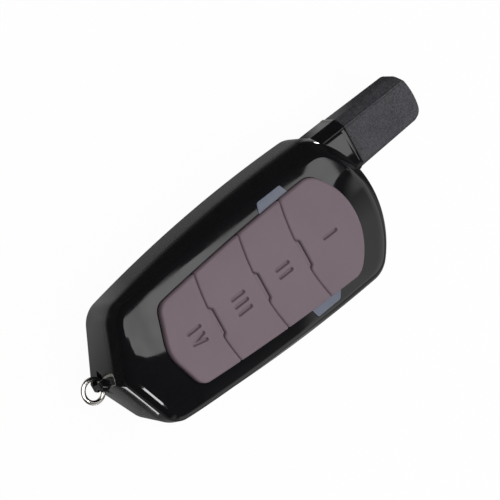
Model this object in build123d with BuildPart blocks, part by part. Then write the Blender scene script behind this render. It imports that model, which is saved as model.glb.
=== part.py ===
from build123d import *
from math import cos, pi, sin, sqrt
import os

# Handheld remote control with four keys, an offset stub aerial and a key ring.
# Millimetres. Origin on the back face, on the body's centre line, level with the middle of the keys.
# +Y runs to the aerial, +Z comes out of the keys.

# Heights above the back face
back_edge = 0.5             # bevel round the back face
back_wall = 1.5
parting = 8.2               # where the two covers meet
lip_height = 0.8            # locating lip of the back cover, above the parting
shoulder = 9.6              # top of the side wall
panel_top = 14.5            # glossy front panel
key_top = 15.5

# Walls and clearances
side_wall = 1.2
panel_wall = 1.4
lip_wall = 0.55
seat_gap = 0.05             # between fixed pieces that slip together
key_gap = 0.3               # between neighbouring keys
key_to_panel = 0.15         # round the key pad

# Body outlines, half of each: tip, foot corner, widest point, head corner and top of the head
base_points = (-38.2, (13.0, -31.5), (16.4, 10.0), (16.05, 27.4), 35.8)
rim_points = (-37.9, (13.75, -32.4), (16.95, 11.0), (16.6, 27.6), 35.2)
panel_points = (-36.9, (12.6, -31.0), (14.0, -5.0), (13.8, 25.6), 30.8)
body_rounds = (1.6, 5.6, 5.9)           # at the tip, the foot corners and the head corners
panel_rounds = (3.0, 5.6, 5.9)
panel_edge_round = 2.0
shoulder_round = 1.8

# Key pad outline and the lines between the keys
pad_points = (-27.2, (9.6, -23.7), (11.2, 0.0), (11.7, 20.1), 25.6)
pad_rounds = (8.0, 3.2, 4.0)
split_heights = (10.1, -1.75, -14.6)
split_radius = 38.0
mark_shift = 0.6            # tabs and numerals stand right of the centre line
tab_rise = 1.0
tab_width = 7.4
tab_slope = 0.9
tab_drop = 0.35
key_edge_round = 0.3
key_depth = 3.2             # from the key's top to its underside
key_skin = 1.2
lug_thickness = 0.8
lug_reach = 0.5
lug_length = 3.0
lug_heights = (17.6, 2.0, -8.0, -19.5)

# Numerals sunk in the keys
groove_width = 0.9
groove_depth = 0.3
stroke_pitch = 1.7
stroke_length = 4.0
vee_place = 0.7
vee_lean = 0.75
numeral_heights = (17.9, 4.8, -7.3, -19.7)

pocket_width = 12.0         # hollow under each key
pocket_length = 6.4
pocket_round = 1.0

# Push switches under the keys
key_travel = 0.4
switch_heights = (17.0, 4.2, -8.2, -20.5)
switch_size = 5.2
switch_height = 1.7
plunger_radius = 1.1
plunger_gap = 0.05
plunger_stand = 0.5         # how far the plunger stands out of its housing
plunger_length = 1.4
post_radius = 1.0

# Light windows beside the upper keys
window_inner = 11.0
window_outer = 13.7
window_low, window_high = 6.4, 15.0
window_slope = 1.0
window_proud = 0.15
guide_width = 1.0           # leg that brings the light up
guide_length = 3.0
guide_place = 12.7
guide_middle = 10.7
guide_lift = 0.2
light_size = (1.6, 2.4, 0.6)

# Circuit board and what stands on it
board_thickness = 1.0
board_gap = 0.35
board_foot = -30.6
chip_lift = 0.15
lead_run = 0.6
lead_width = 0.35
small_part_size = (1.6, 0.8, 0.6)
small_part_places = [
    (6.4, -13.4), (9.0, -13.4), (-6.4, -14.4), (-9.2, -14.4), (6.4, -1.2), (9.0, -1.2),
    (-6.0, 12.4), (-8.6, 12.4), (6.2, 11.6), (8.8, 11.6), (-6.2, 18.0), (6.2, 18.0),
]

# Coin cell, a standard 24.5 by 5 mm size
cell_diameter = 24.5
cell_height = 5.0
cell_place = -8.0
cell_gap = 0.25
well_wall = 1.0
well_height = 3.5
contact_sheet = 0.25
contact_width = 2.5
contact_length = 6.0
cell_step = 0.4
cell_rim = 1.6

# Screws
screw_radius = 0.85
screw_head_radius = 1.5
screw_head_height = 0.9
screw_length = 6.0
screw_gap = 0.05
screw_cross = 1.8
boss_radius = 1.7
boss_meet = 2.6             # where the bosses of the two covers meet
screw_sink = 0.2
screw_places = [(13.1, 22.4), (-13.1, 22.4), (0.0, -33.0)]
board_post_places = [(12.6, -22.0), (-12.6, -22.0), (13.4, 10.0), (-13.4, 10.0)]
board_post_radius = 1.1

# Aerial: neck, cap and coil
neck_centre = -9.6
neck_root = 24.0
neck_end = 35.4
neck_half = 5.85            # half width at the side facets
neck_face_half = 4.3        # half width of the front face
neck_low = 3.0
neck_top = 10.5
neck_facet_top = 8.2
neck_facet_foot = 3.9
neck_foot_half = 5.3
cap_step = 0.15             # cap stands in from the neck
cap_wall = 1.1
cap_length = 18.0
cap_crown = 1.35            # how far the cap's round end bulges
cap_tip_scale = 0.88
cap_edge_round = 0.4
spigot_length = 4.8
spigot_wall = 0.9
coil_radius = 1.75
coil_wire = 0.3
coil_pitch = 1.1
coil_turns = 8
coil_gap = 1.0              # between the spigot and the coil
tail_end = 29.0

# Key ring and the eye that holds it
ring_wire = 0.5
ring_radius = 2.4
ring_height = 3.9
eye_place = -38.75          # centre of the eye's bar
eye_half = 0.6
eye_thickness = 0.7
eye_floor, eye_roof = 3.0, 4.8
eye_plate = 0.8             # plates over and under the slot
eye_plate_half = 1.3
eye_plate_round = 0.6
eye_slot_back = -36.8
tip_block = -35.2           # the covers are solid beyond this
ring_reach = 1.33           # from the eye's bar to the ring's centre

# Worked out from the sizes above
beyond = 4 * base_points[2][0]          # wider and longer than anything it trims
pad_floor = key_top - key_depth
panel_floor = panel_top - panel_wall
board_top = parting + board_thickness
switch_top = board_top + switch_height
plunger_top = switch_top + plunger_stand
cell_top = back_wall + cell_height
cap_end = neck_end + cap_length
cap_side_end = cap_end - cap_crown
coil_start = neck_end + spigot_length + coil_gap
neck_middle = (neck_low + neck_top) / 2


def between(low, high, share):
    """Blend two sets of outline points."""
    if isinstance(low, tuple):
        return tuple(between(a, b, share) for a, b in zip(low, high))
    return low + (high - low) * share


def wall_points(height):
    """Outline points of the side wall at a height."""
    return between(base_points, rim_points, (height - back_edge) / (shoulder - back_edge))


def band_points(height):
    """Outline points and corner radii of the sloping band between the side wall and the panel."""
    share = (height - shoulder) / (panel_top - shoulder)
    return between(rim_points, panel_points, share), between(body_rounds, panel_rounds, share)


def circle_through(first, second, third):
    """Centre and radius of the circle through three points."""
    (ax, ay), (bx, by), (cx, cy) = first, second, third
    twice = 2 * (ax * (by - cy) + bx * (cy - ay) + cx * (ay - by))
    a2, b2, c2 = ax ** 2 + ay ** 2, bx ** 2 + by ** 2, cx ** 2 + cy ** 2
    centre = Vector(
        (a2 * (by - cy) + b2 * (cy - ay) + c2 * (ay - by)) / twice,
        (a2 * (cx - bx) + b2 * (ax - cx) + c2 * (bx - ax)) / twice,
    )
    return centre, (centre - Vector(*first)).length


def inset_points(points, inset):
    """Move half an outline inwards by an even distance."""
    tip, foot, wide, head, top = points
    slope = (Vector(*foot) - Vector(0, tip)).normalized()
    side_centre, side_radius = circle_through(foot, wide, head)
    crown_centre, crown_radius = circle_through(head, (0, top), (-head[0], head[1]))
    side, crown = side_radius - inset, crown_radius - inset
    new_tip = Vector(0, tip + inset / slope.X)
    back = new_tip - side_centre
    along = back.dot(slope)
    new_foot = new_tip + slope * (sqrt(along ** 2 - back.dot(back) + side ** 2) - along)
    new_wide = side_centre + (Vector(*wide) - side_centre) * (side / side_radius)
    apart = crown_centre - side_centre
    share = (side ** 2 - crown ** 2 + apart.dot(apart)) / (2 * apart.length)
    across = Vector(-apart.Y, apart.X).normalized() * sqrt(side ** 2 - share ** 2)
    meet = side_centre + apart.normalized() * share
    new_head = max(meet + across, meet - across, key=lambda point: point.Y)
    return new_tip.Y, (new_foot.X, new_foot.Y), (new_wide.X, new_wide.Y), (new_head.X, new_head.Y), top - inset


def near(vertices, corner):
    """The vertices at a corner of a half outline, on both sides."""
    return [v for v in vertices if abs(abs(v.X) - corner[0]) + abs(v.Y - corner[1]) < 0.01]


def outline(points, height, rounds, inset=0.0):
    """Closed face: a vee at the foot, bowed sides and an arched head."""
    tip, foot, wide, head, top = inset_points(points, inset)
    with BuildSketch(Plane.XY.offset(height)) as face:
        with BuildLine():
            Line((0, tip), foot)
            ThreePointArc(foot, wide, head)
            ThreePointArc(head, (0, top), (-head[0], head[1]))
            ThreePointArc((-head[0], head[1]), (-wide[0], wide[1]), (-foot[0], foot[1]))
            Line((-foot[0], foot[1]), (0, tip))
        make_face()
        for corner, radius in zip(((0, tip), foot, head), rounds):
            fillet(near(face.vertices(), corner), max(radius - inset, seat_gap))
    return face.sketch


def body_section(height, inset=0.0):
    """Outline of the body at any height."""
    if height <= shoulder:
        return outline(wall_points(height), height, body_rounds, inset)
    points, rounds = band_points(height)
    return outline(points, height, rounds, inset)


def at_height(form, height):
    """Edges that lie flat at a height."""
    return form.edges().filter_by(lambda edge: abs((edge @ 0).Z - height) + abs((edge @ 1).Z - height) < 0.001)


def cover_form(lift=0.0):
    """Outer form of the front cover, with its rounded shoulder and panel edge."""
    with BuildPart() as form:
        loft(sections=[body_section(height) for height in (parting, shoulder, panel_top)], ruled=True)
        fillet(at_height(form, shoulder), shoulder_round)
        fillet(form.faces().sort_by(Axis.Z)[-1].edges(), panel_edge_round)
    return form.part.moved(Location((0, 0, lift)))


def cavity_form(low, high, inset):
    """Space inside the covers, cut square before the solid tip."""
    heights = [low, shoulder, high] if low < shoulder < high else [low, high]
    with BuildPart() as form:
        loft(sections=[body_section(height, inset) for height in heights], ruled=True)
        with BuildSketch(Plane.XY.offset(low)):
            with Locations((0, tip_block)):
                Rectangle(beyond, beyond, align=(Align.CENTER, Align.MAX))
        extrude(amount=high - low, mode=Mode.SUBTRACT)
    return form.part


def neck_section(place, inset=0.0, scale=1.0, low=neck_low, high=neck_top):
    """Eight-sided section of the neck and its cap, square to the aerial, between two heights."""
    corners = [
        (neck_face_half, neck_top), (neck_half, neck_facet_top),
        (neck_half, neck_facet_foot), (neck_foot_half, neck_low),
    ]
    right = [(neck_centre + x * scale, neck_middle + (z - neck_middle) * scale) for x, z in corners]
    left = [(2 * neck_centre - x, z) for x, z in reversed(right)]
    with BuildSketch(Plane.XZ.offset(-place)) as face:
        with BuildLine():
            Polyline(*right, *left, close=True)
        make_face()
        if inset:
            offset(amount=-inset, kind=Kind.INTERSECTION)
        with Locations((neck_centre, (low + high) / 2)):
            Rectangle(beyond, high - low, mode=Mode.INTERSECT)
    return face.sketch


def run(face, start, end, mode=Mode.ADD):
    """Push a section of the neck from one place to another, in the part being built."""
    extrude(face, amount=start - end, mode=mode)


def pad_outline(height, grow=0.0):
    """Outline of the four keys together."""
    return outline(pad_points, height, pad_rounds, -grow)


def split_curve(place):
    """Three points of a line between two keys, which sags to the foot."""
    side = 2 * pad_points[2][0]
    rise = side ** 2 / (2 * split_radius)
    return (-side, place + rise), (0, place), (side, place + rise)


def tab_face(place, grow):
    """Trapezoid on the line between two keys."""
    half = tab_width / 2 + grow
    top = place + tab_rise + grow
    with BuildSketch() as face:
        with BuildLine():
            right = [(half, place - tab_rise), (half, place), (half - tab_slope, top)]
            left = [(-x, y) for x, y in reversed(right)]
            Polyline(*[(mark_shift + x, y) for x, y in right + left], close=True)
        make_face()
    return face.sketch


def key_face(number, height):
    """Outline of one key, with its tab at the head and its notch at the foot."""
    half_gap = key_gap / 2
    has_tab, has_notch = number > 0, number < len(split_heights)
    high = split_heights[number - 1] - half_gap if has_tab else 2 * pad_points[4]
    low = split_heights[number] + half_gap if has_notch else 2 * pad_points[0]
    with BuildSketch(Plane.XY.offset(height)) as face:
        with BuildLine():
            left, middle, right = split_curve(low)
            ThreePointArc(left, middle, right)
            far_left, far_middle, far_right = split_curve(high)
            Line(right, far_right)
            ThreePointArc(far_right, far_middle, far_left)
            Line(far_left, left)
        make_face()
        if has_tab:
            add(tab_face(split_heights[number - 1], -half_gap))
        add(pad_outline(0), mode=Mode.INTERSECT)
        if has_notch:
            add(tab_face(split_heights[number], half_gap), mode=Mode.SUBTRACT)
    return face.sketch


def numeral_face(number, height):
    """Strokes of one numeral, as round-ended slots."""
    place = numeral_heights[number]
    reach = (stroke_length - groove_width) / 2
    with BuildSketch(Plane.XY.offset(height)) as face:
        if number < 3:
            for stroke in range(number + 1):
                with Locations((mark_shift + (stroke - number / 2) * stroke_pitch, place)):
                    SlotOverall(stroke_length, groove_width, rotation=90)
        else:
            with Locations((mark_shift - stroke_pitch, place)):
                SlotOverall(stroke_length, groove_width, rotation=90)
            for lean in (-vee_lean, vee_lean):
                head = (mark_shift + vee_place + lean, place + reach)
                SlotCenterPoint((head[0] - lean / 2, place), head, groove_width)
    return face.sketch


def window_face(height, grow=0.0):
    """Plan of the right window, narrower at its outer edge."""
    with BuildSketch(Plane.XY.offset(height)) as face:
        with BuildLine():
            Polyline(
                (window_inner, window_low), (window_outer, window_low + window_slope),
                (window_outer, window_high - window_slope), (window_inner, window_high), close=True,
            )
        make_face()
        fillet(face.vertices().group_by(Axis.X)[-1], window_slope / 2)
        if grow:
            offset(amount=grow, kind=Kind.INTERSECTION)
    return face.sketch


def screw_bosses():
    """Bosses that hang from the front cover, trimmed to its outer form."""
    with BuildPart() as bosses:
        with BuildSketch(Plane.XY.offset(boss_meet)):
            with Locations(*screw_places):
                Circle(boss_radius)
        extrude(amount=panel_top - boss_meet)
        add(front_blank(), mode=Mode.INTERSECT)
    return bosses.part


def front_blank():
    """The front cover's outer form, carried down to the back face."""
    with BuildPart() as blank:
        add(cover_form())
        extrude(body_section(parting, side_wall), amount=-parting)
    return blank.part


def box(low, high, mode=Mode.ADD):
    """A block between two corners, in the part being built."""
    size = [b - a for a, b in zip(low, high)]
    with Locations(low):
        Box(*size, align=(Align.MIN, Align.MIN, Align.MIN), mode=mode)


# Front cover: glossy shell with the panel, the upper half of the neck and three screw bosses
spigot_inset = cap_step + cap_wall + seat_gap
channel_inset = spigot_inset + spigot_wall
with BuildPart() as front_cover:
    add(cover_form())
    run(neck_section(neck_root, low=parting), neck_root, neck_end)
    run(neck_section(neck_end, spigot_inset, low=parting), neck_end, neck_end + spigot_length)
    add(cavity_form(parting, panel_floor, side_wall), mode=Mode.SUBTRACT)
    add(cavity_form(parting, parting + lip_height + seat_gap, lip_wall), mode=Mode.SUBTRACT)
    add(screw_bosses())
    extrude(pad_outline(panel_floor - panel_wall, key_to_panel), amount=3 * panel_wall, mode=Mode.SUBTRACT)
    window = window_face(shoulder, seat_gap)
    extrude(window, amount=panel_top - shoulder, mode=Mode.SUBTRACT)
    extrude(mirror(window, about=Plane.YZ), amount=panel_top - shoulder, mode=Mode.SUBTRACT)
    with Locations(*[Plane((x, y, boss_meet), z_dir=(0, 0, -1)) for x, y in screw_places]):
        Hole(screw_radius + screw_gap, depth=screw_length + screw_gap)

# Windows: clear pieces set in the panel's edge, each with a leg over its light
with BuildPart() as window_right:
    add(cover_form(lift=window_proud))
    extrude(window_face(shoulder), amount=panel_top, mode=Mode.INTERSECT)
    add(cavity_form(parting, panel_floor, side_wall), mode=Mode.SUBTRACT)
    extrude(pad_outline(shoulder, key_to_panel), amount=panel_top, mode=Mode.SUBTRACT)
    guide_foot = board_top + light_size[2] + guide_lift
    box((guide_place - guide_width / 2, guide_middle - guide_length / 2, guide_foot),
        (guide_place + guide_width / 2, guide_middle + guide_length / 2, panel_floor))
with BuildPart() as window_left:
    add(mirror(window_right.part, about=Plane.YZ))

# Back cover: tray with a locating lip, a well for the cell, board posts and the eye for the ring
with BuildPart() as back_cover:
    loft(sections=[body_section(0, back_edge), body_section(back_edge), body_section(parting)], ruled=True)
    run(neck_section(neck_root, high=parting), neck_root, neck_end)
    run(neck_section(neck_end, spigot_inset, high=parting), neck_end, neck_end + spigot_length)
    add(cavity_form(parting, parting + lip_height, lip_wall + seat_gap))
    extrude(body_section(parting, side_wall), amount=lip_height, mode=Mode.SUBTRACT)
    with BuildSketch(Plane.XY.offset(back_wall)) as floor_face:
        add(body_section(parting, side_wall).moved(Location((0, 0, back_wall - parting))))
        with Locations((0, tip_block)):
            Rectangle(beyond, beyond, align=(Align.CENTER, Align.MAX), mode=Mode.SUBTRACT)
    extrude(amount=parting - back_wall, mode=Mode.SUBTRACT)
    channel = neck_section(neck_root, channel_inset, high=parting)
    run(channel, neck_root, neck_end + spigot_length, Mode.SUBTRACT)
    with BuildSketch(Plane.XY.offset(back_wall)):
        with Locations((0, cell_place)):
            Circle(cell_diameter / 2 + cell_gap + well_wall)
            Circle(cell_diameter / 2 + cell_gap, mode=Mode.SUBTRACT)
    extrude(amount=well_height)
    well_reach = cell_diameter / 2 + cell_gap + well_wall
    box((0, cell_place - contact_width - cell_gap, back_wall),
        (well_reach, cell_place + contact_width + cell_gap, parting), Mode.SUBTRACT)
    with BuildSketch(Plane.XY.offset(back_wall)):
        with Locations(*board_post_places):
            Circle(board_post_radius)
    extrude(amount=parting - back_wall)
    with BuildSketch(Plane.XY.offset(back_edge)):
        with Locations(*screw_places):
            Circle(boss_radius + screw_head_radius - screw_radius)
    extrude(amount=boss_meet - back_edge)
    with Locations(*[Plane((x, y, 0), z_dir=(0, 0, -1)) for x, y in screw_places]):
        CounterBoreHole(screw_radius + screw_gap, screw_head_radius + screw_gap,
                        screw_head_height + screw_sink, depth=parting)
    eye_front = eye_place - eye_thickness / 2 - seat_gap
    with BuildSketch(Plane.XY.offset(eye_floor - eye_plate)) as plate_face:
        with Locations((0, eye_front)):
            Rectangle(2 * eye_plate_half, tip_block - eye_front, align=(Align.CENTER, Align.MIN))
        fillet(plate_face.vertices().group_by(Axis.Y)[0], eye_plate_round)
    extrude(amount=eye_roof - eye_floor + 2 * eye_plate)
    box((-beyond, 2 * eye_place, eye_floor), (beyond, eye_slot_back, eye_roof), Mode.SUBTRACT)
    with BuildSketch(Plane.XY.offset(eye_floor - seat_gap)):
        with Locations((0, eye_place)):
            SlotOverall(2 * eye_half, eye_thickness)
    extrude(amount=eye_roof - eye_floor + 2 * seat_gap)

# Aerial cap: tapered sleeve with a round end, pushed over the neck's spigot
with BuildPart() as antenna_cap:
    loft(sections=[neck_section(neck_end, cap_step), neck_section(cap_end, cap_step, cap_tip_scale)], ruled=True)
    with BuildSketch():
        with BuildLine():
            left, right = neck_centre - neck_half, neck_centre + neck_half
            Polyline((left, cap_side_end), (left, neck_end), (right, neck_end), (right, cap_side_end))
            ThreePointArc((right, cap_side_end), (neck_centre, cap_end), (left, cap_side_end))
        make_face()
    extrude(amount=neck_low + neck_top, mode=Mode.INTERSECT)
    bore_inset = cap_step + cap_wall
    bore_end = cap_side_end - cap_wall
    loft(sections=[neck_section(neck_end, bore_inset), neck_section(bore_end, bore_inset)],
         ruled=True, mode=Mode.SUBTRACT)
    fillet(antenna_cap.faces().sort_by(Axis.Y)[-1].edges(), cap_edge_round)

# Aerial coil: a wire helix in the cap, with a straight tail to the circuit board
coil_quarter = pi / 2


def coil_point(angle):
    """Point and direction of the coil's centre line at an angle."""
    place = coil_start + coil_pitch * angle / (2 * pi)
    point = Vector(neck_centre + coil_radius * cos(angle), place, neck_middle + coil_radius * sin(angle))
    heading = Vector(-coil_radius * sin(angle), coil_pitch / (2 * pi), coil_radius * cos(angle))
    return point, heading.normalized()


with BuildPart() as antenna_coil:
    with BuildLine() as coil_path:
        for step in range(4 * coil_turns):
            start, out = coil_point(step * coil_quarter)
            end, into = coil_point((step + 1) * coil_quarter)
            chord, both = end - start, out + into
            spread = 2 * (1 - out.dot(into))
            reach = (sqrt(chord.dot(both) ** 2 + spread * chord.dot(chord)) - chord.dot(both)) / spread
            middle = (start + end + (out - into) * reach) * 0.5
            TangentArc(start, middle, tangent=out)
            TangentArc(middle, end, tangent=end - into * reach - middle)
    with BuildSketch(Plane(coil_point(0)[0], z_dir=coil_point(0)[1])):
        Circle(coil_wire)
    sweep(path=coil_path.line)
    with BuildSketch(Plane.XZ.offset(-tail_end)):
        with Locations((neck_centre + coil_radius, neck_middle)):
            Circle(coil_wire)
    extrude(amount=tail_end - coil_start - coil_wire)

# Keys: hollow caps with side lugs under the panel, a post over the switch and a sunk numeral
keys = []
for number in range(4):
    with BuildPart() as key:
        extrude(key_face(number, pad_floor), amount=key_depth)
        if number:
            tab_line = split_heights[number - 1]
            box((-tab_width, tab_line, key_top - tab_drop), (tab_width, tab_line + 2 * tab_rise, key_top),
                Mode.SUBTRACT)
        fillet(key.faces().sort_by(Axis.Z)[-1].edges(), key_edge_round)
        with BuildSketch(Plane.XY.offset(panel_floor - lug_thickness)):
            add(pad_outline(0, lug_reach))
            with Locations((0, lug_heights[number])):
                Rectangle(beyond, lug_length, mode=Mode.INTERSECT)
        extrude(amount=lug_thickness)
        with BuildSketch(Plane.XY.offset(pad_floor)):
            with Locations((0, switch_heights[number])):
                RectangleRounded(pocket_width, pocket_length, pocket_round)
        extrude(amount=key_depth - key_skin, mode=Mode.SUBTRACT)
        with BuildSketch(Plane.XY.offset(plunger_top)):
            with Locations((0, switch_heights[number])):
                Circle(post_radius)
        extrude(amount=key_top - key_skin - plunger_top)
        extrude(numeral_face(number, key_top - groove_depth), amount=key_depth, mode=Mode.SUBTRACT)
    key.part.label = f"key_{number + 1}"
    keys.append(key.part)

# Push switches: housings on the board, and a plunger under each key
with BuildPart() as switch_housings:
    with BuildSketch(Plane.XY.offset(board_top)):
        with Locations(*[(0, place) for place in switch_heights]):
            RectangleRounded(switch_size, switch_size, post_radius / 2)
    extrude(amount=switch_height)
    with BuildSketch(Plane.XY.offset(plunger_top - plunger_length - key_travel - seat_gap)):
        with Locations(*[(0, place) for place in switch_heights]):
            Circle(plunger_radius + plunger_gap)
    extrude(amount=switch_height, mode=Mode.SUBTRACT)

plungers = []
for number, place in enumerate(switch_heights):
    with BuildPart() as plunger:
        with BuildSketch(Plane.XY.offset(plunger_top - plunger_length)):
            with Locations((0, place)):
                Circle(plunger_radius)
        extrude(amount=plunger_length)
    plunger.part.label = f"switch_plunger_{number + 1}"
    plungers.append(plunger.part)

# Circuit board, cut round the screw bosses
with BuildPart() as circuit_board:
    with BuildSketch(Plane.XY.offset(parting)):
        add(body_section(parting, side_wall + board_gap))
        with Locations((0, board_foot)):
            Rectangle(beyond, beyond, align=(Align.CENTER, Align.MAX), mode=Mode.SUBTRACT)
        with Locations(*screw_places):
            Circle(boss_radius + board_gap, mode=Mode.SUBTRACT)
    extrude(amount=board_thickness)


def chip(place, size, lead_count=0, lead_pitch=1.27):
    """Chip on the board's top, with bent-down leads along two sides."""
    width, length, height = size
    with BuildPart() as body:
        with BuildSketch(Plane.XY.offset(board_top + chip_lift)):
            with Locations(place):
                Rectangle(width, length)
        extrude(amount=height)
        chamfer(body.edges().group_by(Axis.Z)[-1], chip_lift)
        if lead_count:
            with BuildSketch(Plane.XY.offset(board_top)):
                with Locations(place):
                    with GridLocations(width + lead_run, lead_pitch, 2, lead_count // 2):
                        Rectangle(lead_run, lead_width)
            extrude(amount=height / 2)
        with BuildSketch(Plane.XY.offset(board_top)):
            with Locations(place):
                Rectangle(width - lead_run, length - lead_run)
        extrude(amount=chip_lift)
    return body.part


controller_chip = chip((-8.0, -8.4), (4.4, 6.4, 1.0), 20, 0.62)
memory_chip = chip((7.8, -8.4), (3.8, 4.8, 1.2), 8)
radio_chip = chip((-7.8, 4.4), (4.0, 4.0, 0.8))
resonator = chip((7.6, 4.4), (4.2, 3.0, 1.1))

# Small resistors and capacitors
with BuildPart() as small_parts:
    with BuildSketch(Plane.XY.offset(board_top)):
        with Locations(*small_part_places):
            Rectangle(small_part_size[0], small_part_size[1])
    extrude(amount=small_part_size[2])

# Lights under the windows
with BuildPart() as status_lights:
    with BuildSketch(Plane.XY.offset(board_top)):
        with Locations((guide_place, guide_middle), (-guide_place, guide_middle)):
            Rectangle(light_size[0], light_size[1])
    extrude(amount=light_size[2])

# Coin cell: can with a smaller negative face
with BuildPart() as coin_cell:
    with BuildSketch(Plane.XY.offset(back_wall)):
        with Locations((0, cell_place)):
            Circle(cell_diameter / 2)
    extrude(amount=cell_height - cell_step)
    fillet(coin_cell.edges().group_by(Axis.Z)[0], cell_step)
    with BuildSketch(Plane.XY.offset(cell_top - cell_step)):
        with Locations((0, cell_place)):
            Circle(cell_diameter / 2 - cell_rim)
    extrude(amount=cell_step)

# Cell contacts, soldered to the board's underside
with BuildPart() as contact_minus:
    box((-contact_length, cell_place - contact_width, parting - contact_sheet),
        (contact_length, cell_place + contact_width, parting))
    with BuildSketch(Plane.XY.offset(cell_top)):
        with Locations((0, cell_place)):
            Circle(contact_width)
    extrude(amount=parting - contact_sheet - cell_top)
with BuildPart() as contact_plus:
    box((cell_diameter / 2, cell_place - contact_width, back_wall + cell_step),
        (cell_diameter / 2 + contact_sheet, cell_place + contact_width, parting))
    box((cell_diameter / 2, cell_place - contact_width, parting - contact_sheet),
        (cell_diameter / 2 + contact_width, cell_place + contact_width, parting))

# Cover screws: pan head in the back cover, shank in the front cover's bosses
with BuildPart() as cover_screws:
    head_floor = screw_sink + screw_head_height
    with BuildSketch(Plane.XY.offset(screw_sink)):
        with Locations(*screw_places):
            Circle(screw_head_radius)
    extrude(amount=screw_head_height)
    with BuildSketch(Plane.XY.offset(head_floor)):
        with Locations(*screw_places):
            Circle(screw_radius)
    extrude(amount=screw_length)
    for x, y in screw_places:
        for turn in (0, 90):
            with BuildSketch(Plane.XY.offset(screw_sink)):
                with Locations((x, y)):
                    Rectangle(screw_cross, screw_cross / 4, rotation=turn)
            extrude(amount=screw_head_height / 2, mode=Mode.SUBTRACT)

# Key ring, looped round the eye's bar
ring_place = eye_place - ring_reach
with BuildPart() as key_ring:
    with BuildSketch(Plane.XZ):
        with Locations((ring_radius, ring_height)):
            Circle(ring_wire)
    revolve(axis=Axis.Z)
key_ring_part = key_ring.part.moved(Location((0, ring_place, 0)))

os.makedirs("parts", exist_ok=True)
pieces = {
    "front_cover": front_cover.part, "back_cover": back_cover.part, "antenna_cap": antenna_cap.part,
    "antenna_coil": antenna_coil.part, "window_left": window_left.part, "window_right": window_right.part,
    "circuit_board": circuit_board.part, "switch_housings": switch_housings.part,
    "controller_chip": controller_chip, "memory_chip": memory_chip, "radio_chip": radio_chip,
    "resonator": resonator, "small_parts": small_parts.part, "status_lights": status_lights.part,
    "coin_cell": coin_cell.part, "contact_minus": contact_minus.part, "contact_plus": contact_plus.part,
    "cover_screws": cover_screws.part, "key_ring": key_ring_part,
}
pieces.update({part.label: part for part in keys + plungers})
for name, piece in pieces.items():
    piece.label = name
    export_step(piece, f"parts/{name}.step")
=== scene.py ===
import math

import bpy
import bmesh
import numpy as np
from mathutils import Matrix, Vector
from mathutils.geometry import delaunay_2d_cdt


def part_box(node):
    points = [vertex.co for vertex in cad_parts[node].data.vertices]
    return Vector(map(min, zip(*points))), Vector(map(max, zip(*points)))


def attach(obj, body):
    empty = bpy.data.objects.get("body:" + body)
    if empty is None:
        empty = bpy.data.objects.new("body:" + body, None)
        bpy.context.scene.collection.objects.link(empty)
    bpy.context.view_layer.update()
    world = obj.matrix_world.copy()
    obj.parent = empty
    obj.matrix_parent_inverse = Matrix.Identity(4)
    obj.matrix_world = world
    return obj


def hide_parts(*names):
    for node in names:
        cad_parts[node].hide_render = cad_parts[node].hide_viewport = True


bl_info = {
    "name": "Handheld Remote with Aerial",
    "version": (1, 0, 0),
    "blender": (4, 5, 0),
    "location": "3D View > Sidebar > Remote",
    "description": "Dresses the packed remote control: covers, keys, windows, aerial cap, ring and studio",
    "category": "Object",
}

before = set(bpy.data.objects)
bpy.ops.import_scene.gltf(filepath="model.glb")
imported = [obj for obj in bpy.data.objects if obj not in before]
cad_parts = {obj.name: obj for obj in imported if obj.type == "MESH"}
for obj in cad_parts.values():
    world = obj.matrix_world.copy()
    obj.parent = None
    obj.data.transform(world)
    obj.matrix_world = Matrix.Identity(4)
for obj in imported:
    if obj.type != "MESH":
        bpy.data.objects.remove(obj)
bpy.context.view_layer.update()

MM = 0.001
SQUARE = ((-1, -1), (1, -1), (1, 1), (-1, 1))

# Heights of the covers, in millimetres above the back face
BACK_EDGE, BACK_WALL, PARTING, SHOULDER, PANEL_TOP, KEY_TOP = 0.5, 1.5, 8.2, 9.6, 14.5, 15.5
PANEL_FLOOR, PAD_FLOOR = 13.1, 12.3
SIDE_WALL, ROOF_WALL, LIP_WALL, LIP_HEIGHT, SEAT_GAP = 1.2, 1.7, 0.55, 0.8, 0.05
SEAM_INSET, SEAM_BAND = 0.45, 0.8            # the rims at the parting: reach inwards, and height
BACK_ROUND, SIDE_START = 0.5, 3.0            # the back face's edge, and where the side leaves it
BACK_SHARE = 0.6                             # where the second rounding of that edge starts on its slope

# Half outlines: tip, foot corner, widest point, head corner, top of the head
BASE = (-38.2, (13.0, -31.5), (16.4, 10.0), (16.05, 27.4), 35.8)
RIM = (-37.9, (13.75, -32.4), (16.95, 11.0), (16.6, 27.6), 35.2)
PANEL = (-37.4, (13.4, -32.1), (14.5, -5.0), (14.1, 25.8), 31.2)
BODY_ROUNDS = (1.6, 5.6, 5.9)
PANEL_ROUNDS = (3.0, 4.4, 5.9)
PAD = (-27.2, (9.6, -23.7), (11.2, 0.0), (11.7, 20.1), 25.6)
PAD_ROUNDS = (8.0, 3.2, 4.0)
OUTLINE_STEPS = (8, 26, 14, 80, 18, 44)      # points along each piece of half an outline
GUARD = 0.04                                 # distance of the extra ring at each end of a rounding
NEXT_RING = 0.1                              # distance of a plain ring from a rounding
OPENING_STEPS = 4                            # steps of the key opening's rounding
OVERLAP = 0.05                               # how far joined forms reach into each other
WALL_REACH, CORNER_REACH = 0.95, 0.48        # share of a side that a rounding at its end may take
MERGE = 1e-7                                 # points nearer than this, in metres, become one
SIDE_STEPS, PANEL_STEPS = 24, 18             # steps of the side's long curve and of the panel's edge
SIDE_RINGS, PANEL_RINGS, BACK_RINGS = 12, 14, 8         # plain rings: front side, panel, back side

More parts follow.
